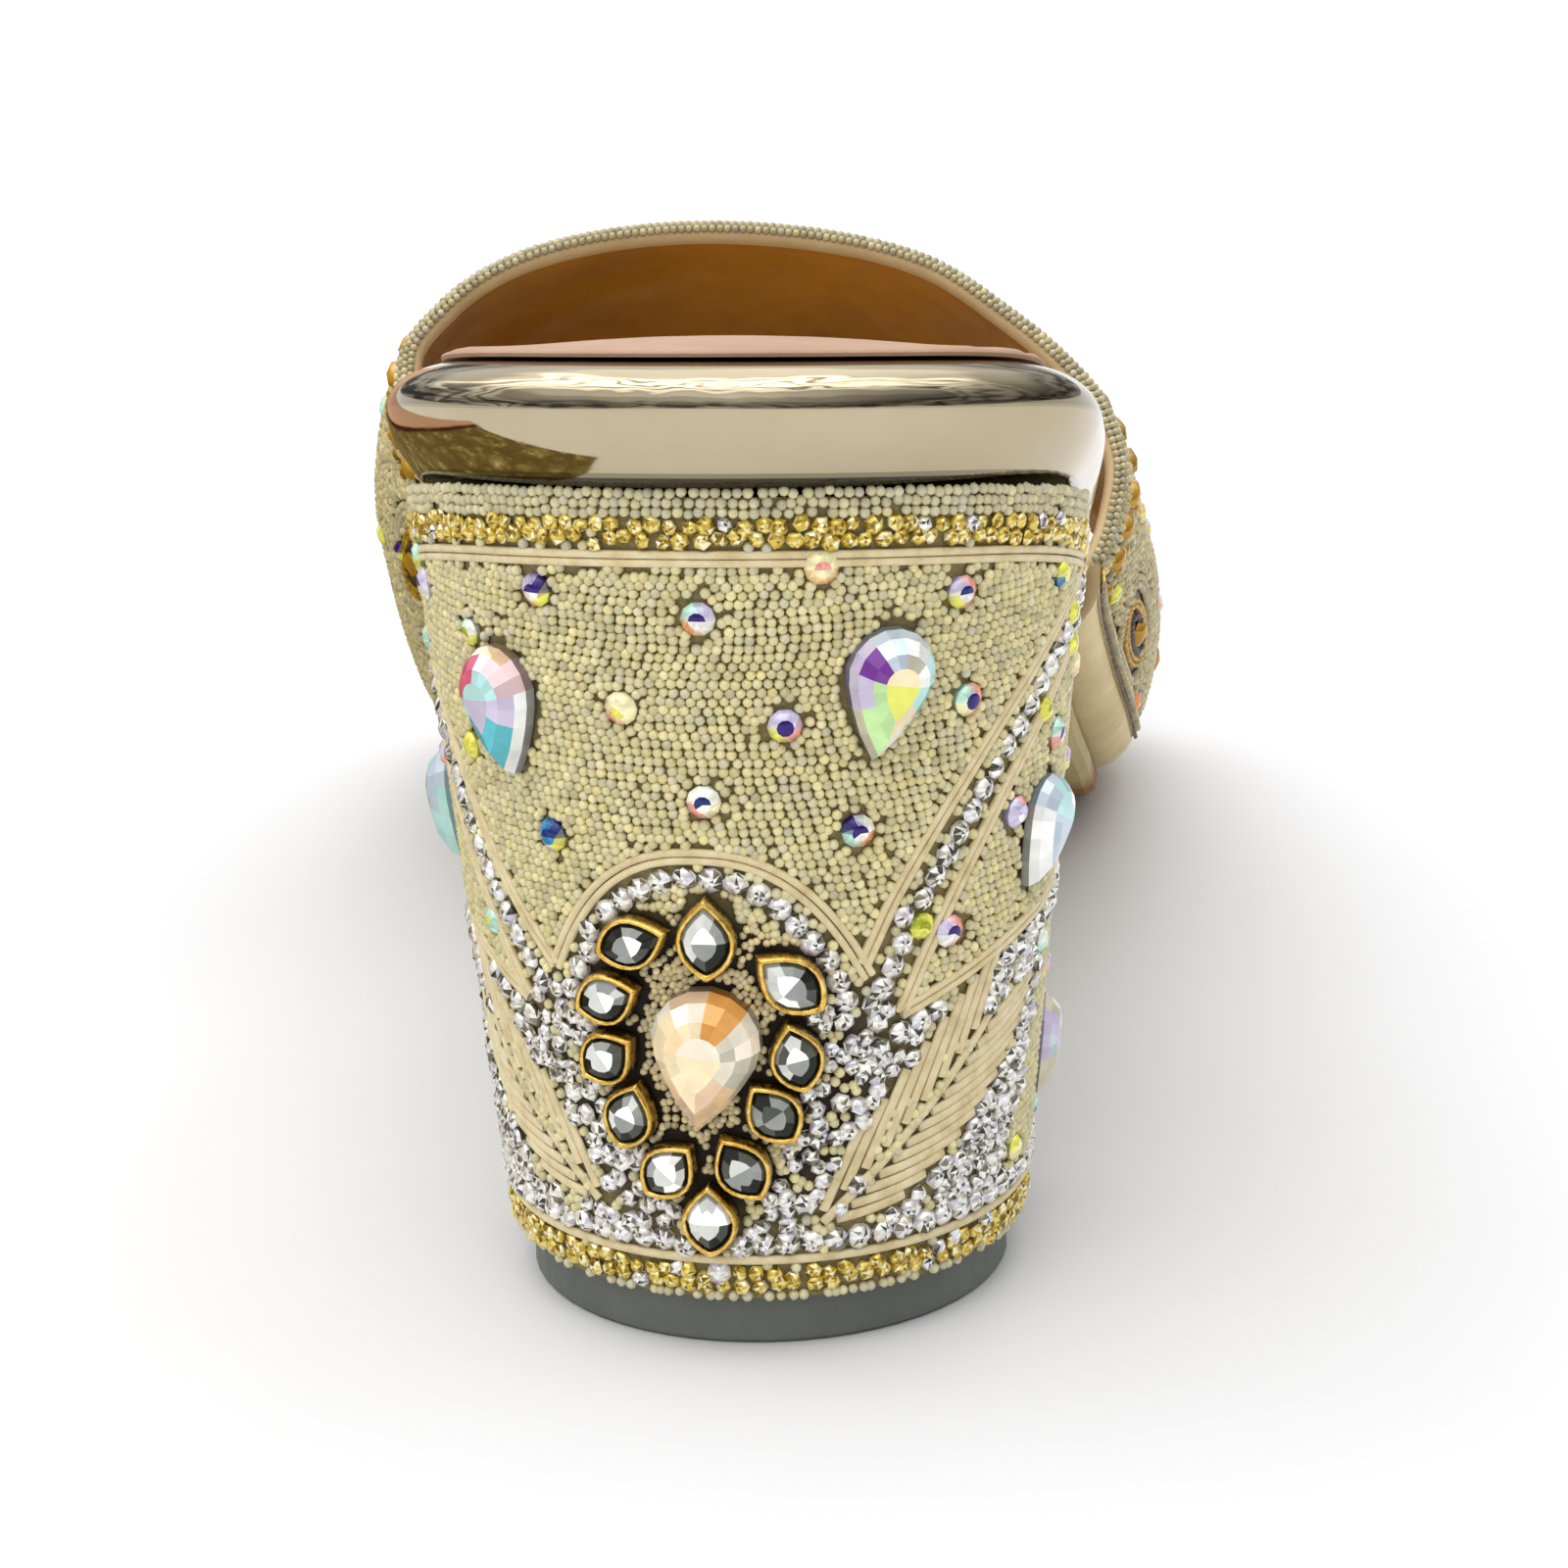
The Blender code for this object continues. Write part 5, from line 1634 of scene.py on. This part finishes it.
def lay_medallions():
    """Oval motifs: two rings of beads, two of gold wire, a dark leaf and a gold heart."""
    rings, leaves, wires = [], [], []
    for around, back, wide, deep, turned in MEDALLIONS:
        centre = (around, back)
        for inset in (0.0, 0.92):
            rings.append(upper_ring(centre, wide - inset, deep - inset, 0.9, turned))
            hold(*rings[-1], 0.42)
        for inset in (0.6, 1.3):
            wires.append(upper_ring(centre, 0.62 * wide - inset, 0.80 * deep - inset, 0.5, turned))
            hold(*wires[-1], 0.3)
        leaves.append(upper_ring(centre, 0.26 * wide, 0.46 * deep, 1.0, turned))
        hold(*upper_ring(centre, 0.2 * wide, 0.4 * deep, 0.8, turned), 1.2)
        hold(*centre, 1.4)
    around, back = np.concatenate(rings, 1)
    lay_on_upper("medallion_rings", BEAD, around, back, 0.46,
                 seed_tints(len(around), SAGE * 1.25, 0.12), SEED)
    around, back = np.concatenate(leaves, 1)
    lay_on_upper("medallion_leaves", BEAD, around, back, 0.55,
                 varied(LEAF_BROWN, 0.6, 1.5, len(around)), SEED)
    around, back = np.concatenate(wires, 1)
    lay_on_upper("medallion_wire", BEAD, around, back, 0.34,
                 varied(WIRE_GOLD, 0.6, 1.4, len(around)), AMBER, 0.3)
    around, back = np.array([row[:2] for row in MEDALLIONS]).T
    lay_on_upper("medallion_hearts", BEAD, around, back, (1.0, 1.6, 1.0),
                 np.repeat([HEART_GOLD], len(around), 0), AMBER, 0.4, np.zeros(len(around)))


def lay_upper_stones():
    around, back = np.array([row[:2] for row in UPPER_STONES]).T
    lay_on_upper("upper_stones", CUT, around, back, UPPER_STONE_RADIUS, flash_tints(UPPER_STONES),
                 CRYSTAL, 0.35, np.zeros(len(around)), "faceted_crystal")
    hold(around, back, UPPER_STONE_RADIUS)


def border(inset, step):
    """Places along the edge of the embroidery: beside both soles and behind the toe opening."""
    rows = []
    for side in (-1.0, 1.0):
        around = side * (EMBROIDERED - inset * 0.012)
        back = np.linspace(topline(around) + 0.6, toe_opening(around) - 3.0, 300)
        back, = picked(evenly(upper_point(back, around), step), back)
        rows.append((np.full(len(back), around), back))
    around = np.linspace(-EMBROIDERED, EMBROIDERED, 600)
    behind = BORDER_BEHIND_TOE + inset
    around, = picked(evenly(upper_point(toe_opening(around) - behind, around), step), around)
    rows.append((around, toe_opening(around) - behind))
    return np.concatenate(rows, 1)


def lay_border():
    """A dark row, a bright row and a row of sequins round the embroidery."""
    dark, bright, sequins = border(0.0, 0.95), border(1.0, 0.9), border(2.9, 2.1)
    lay_on_upper("border_dark", BEAD, *dark, 0.30, varied(BORDER_BROWN, 0.6, 1.5, dark.shape[1]), SEED)
    lay_on_upper("border_bright", BEAD, *bright, 0.45,
                 seed_tints(bright.shape[1], SAGE * 1.1, 0.12), SEED)
    for rows, radius in ((dark, 0.42), (bright, 0.42), (sequins, 0.75)):
        hold(*rows, radius)
    lay_on_upper("border_sequins", CHIP, *sequins, (0.95, 0.95, 0.35),
                 varied(SEQUIN_GOLD, 0.5, 1.4, sequins.shape[1]), AMBER, 0.25)


def upper_lattice(step):
    """Staggered rows of places over the embroidery."""
    rows = []
    line = np.linspace(-EMBROIDERED + 0.014, EMBROIDERED - 0.014, 900)
    first, last = topline(line) + 2.0, toe_opening(line) - 5.0
    for number, share in enumerate(np.arange(0.0, 1.0, 0.775 / 83.0)):
        back = first + (last - first) * share
        at = evenly(upper_point(back, line), step, 0.5 * step * (number % 2))
        rows.append(picked(at, line, back))
    return np.concatenate(rows, 1)


def lay_upper_seeds():
    """Seed beads over the embroidery, clear of its ornaments and of each other."""
    around, back = upper_lattice(BEAD_STEP)
    around += RANDOM.normal(0.0, 0.0012, len(around))
    back += RANDOM.normal(0.0, 0.10, len(back))
    points = upper_point(back, around)
    ornaments, own = tree_of([point for point, _ in UPPER_TAKEN]), tree_of(points)
    kept = np.zeros(len(points), bool)
    for index, point in enumerate(points):
        near = ornaments.find_range(Vector(point), 1.9)
        beads = own.find_range(Vector(point), 0.66)
        kept[index] = (all(away >= UPPER_TAKEN[other][1] + 0.40 for _, other, away in near)
                       and not any(other < index and kept[other] for _, other, _ in beads))
    around, back = around[kept], back[kept]
    lay_on_upper("upper_seeds", BEAD, around, back, RANDOM.uniform(0.45, 0.51, len(around)),
                 seed_tints(len(around), CREAM * np.array([0.82, 0.78, 0.72]), 0.16), SEED)


bind_topline()
lay_ovals()
lay_medallions()
lay_upper_stones()
lay_border()
lay_upper_seeds()


# ---------------------------------------------------------------- camera, floor and light
CAMERA_PLACE = Vector((-51.1, 403.7, 174.8))
CAMERA_AIM = Vector((-2.6, 0.0, 44.1))
CAMERA_ROLL = -1.66
LENS = 114.0

camera_data = bpy.data.cameras.new("camera")
camera_data.lens = LENS
camera_data.sensor_width = 36.0
camera_data.clip_end = 20.0
camera = link_object("camera", camera_data)
looking = (CAMERA_AIM - CAMERA_PLACE).to_track_quat("-Z", "Y").to_matrix()
rolled = looking @ Matrix.Rotation(math.radians(CAMERA_ROLL), 3, "Z")
camera.matrix_world = Matrix.Translation(CAMERA_PLACE * MM) @ rolled.to_4x4()
bpy.context.scene.camera = camera
bpy.context.scene.view_settings.view_transform = "Standard"


def stage_sheet(name, corners, material):
    """A flat four-cornered sheet that is no part of the shoe, its corners in metres."""
    data = bpy.data.meshes.new(name)
    data.from_pydata(corners, [], [(0, 1, 2, 3)])
    data.materials.append(material)
    sheet = link_object(name, data)
    return sheet


def make_card_material():
    """The other shoe as the rim mirrors it: dark glitter below, a dark red edge, pink above."""
    look = new_look("side_card", Roughness=0.9)
    sparks = look.colours(look.noise(160.0, 4.0, 0.8), (
        (0.0, (0.12, 0.085, 0.02)), (0.50, (0.22, 0.16, 0.045)), (0.60, (0.50, 0.40, 0.14)),
        (0.68, (0.95, 0.85, 0.50))))
    height = look.axis("Z")
    edged = look.colours(look.levels(height, 0.040, 0.060), (
        (0.0, (1.0, 1.0, 1.0)), (0.50, (1.0, 1.0, 1.0)), (0.55, (0.30, 0.04, 0.01)),
        (0.62, (0.30, 0.04, 0.01))))
    look.put(Base_Color=look.mixed(look.levels(height, 0.0525, 0.0535),
                                   look.mixed(1.0, sparks, edged, "MULTIPLY"), (0.88, 0.55, 0.38)))
    return look.owner


FLOOR_REACH = 4.0
stage_sheet("floor", [(-FLOOR_REACH, -FLOOR_REACH, 0.0), (FLOOR_REACH, -FLOOR_REACH, 0.0),
                      (FLOOR_REACH, FLOOR_REACH, 0.0), (-FLOOR_REACH, FLOOR_REACH, 0.0)],
            new_look("floor", Roughness=0.9, Specular_IOR_Level=0.1,
                     Base_Color=(0.68, 0.68, 0.685)).owner)
# a dark board beside the shoe, where the other shoe of the pair is: only the polished rim mirrors it
card = stage_sheet("side_card", [(0.050, -0.18, 0.001), (0.050, 0.046, 0.001),
                                 (0.072, 0.019, 0.056), (0.082, -0.18, 0.098)], make_card_material())
card.visible_camera = card.visible_diffuse = card.visible_shadow = False

SKY_STRIPS = (
    # direction towards the back of the shoe, light
    (-1.0, 0.34), (-0.42, 0.36), (-0.34, 0.30), (-0.27, 0.72), (-0.18, 0.92), (-0.13, 0.20),
    (-0.06, 0.24), (-0.02, 0.85), (0.07, 1.05), (0.11, 0.22), (0.15, 0.20), (0.18, 0.85),
    (0.28, 1.05), (0.33, 0.16), (0.37, 0.14), (0.40, 0.80), (0.50, 0.80), (0.58, 0.34),
    (0.70, 0.40), (1.0, 0.44),
)
LOW_BANDS = (
    # height of the direction, light there
    (0.0, 0.30), (0.04, 0.07), (0.15, 0.09), (0.19, 0.42), (0.24, 0.14), (0.30, 0.40),
    (0.38, 0.60), (0.54, 0.62), (0.62, 1.0), (1.0, 1.0),
)
SKY_STRENGTH = 4.4
SEEN_GREY = 0.30


def grey(light):
    return (light, light, light)


def make_sky():
    """A soft studio round the shoe: strips of light overhead, dark bands and streaks low down, less
    light from the sides, and one plain grey where the camera sees it."""
    world = bpy.data.worlds.new("studio")
    bpy.context.scene.world = world
    look = Look(world, "Background", Strength=SKY_STRENGTH)
    direction = look.coordinates["Generated"]
    across, back, up = (look.axis(name, direction) for name in "XYZ")

    def waves(scale, stretch, reach):
        spots = look.noise(scale, 1.0, 0.5, stretch, direction)
        return look.levels(spots, 0.3, 0.7, -reach, reach)

    curve = look.maths("MULTIPLY", look.maths("MULTIPLY", across, across), up)
    strip = look.maths("ADD", waves(2.0, (2.2, 1.0, 1.0), 0.28),
                       look.maths("ADD", back, look.maths("MULTIPLY", curve, 1.6)))
    sky = look.colours(look.levels(strip, -1.0, 1.0),
                       [((place + 1.0) / 2.0, (0.99 * light, 0.99 * light, light))
                        for place, light in SKY_STRIPS])
    lift = look.maths("ADD", up, waves(2.2, (3.0, 1.0, 1.0), 0.07))
    low = look.colours(lift, [(place, grey(light)) for place, light in LOW_BANDS])
    streak = look.levels(look.noise(1.0, 1.0, 0.5, (9.0, 1.0, 16.0), direction), 0.50, 0.62)
    low = look.mixed(look.maths("MULTIPLY", streak, 0.6), low, grey(0.55), "LIGHTEN")
    sky = look.mixed(1.0, sky, low, "MULTIPLY")
    sky = look.mixed(look.levels(across, 0.45, 1.0), sky, grey(0.62), "MULTIPLY")
    sky = look.mixed(look.levels(across, -0.12, -0.85), sky, grey(0.30), "MULTIPLY")
    seen = look.node("ShaderNodeLightPath").outputs["Is Camera Ray"]
    look.put(Color=look.mixed(seen, sky, grey(SEEN_GREY)))


make_sky()
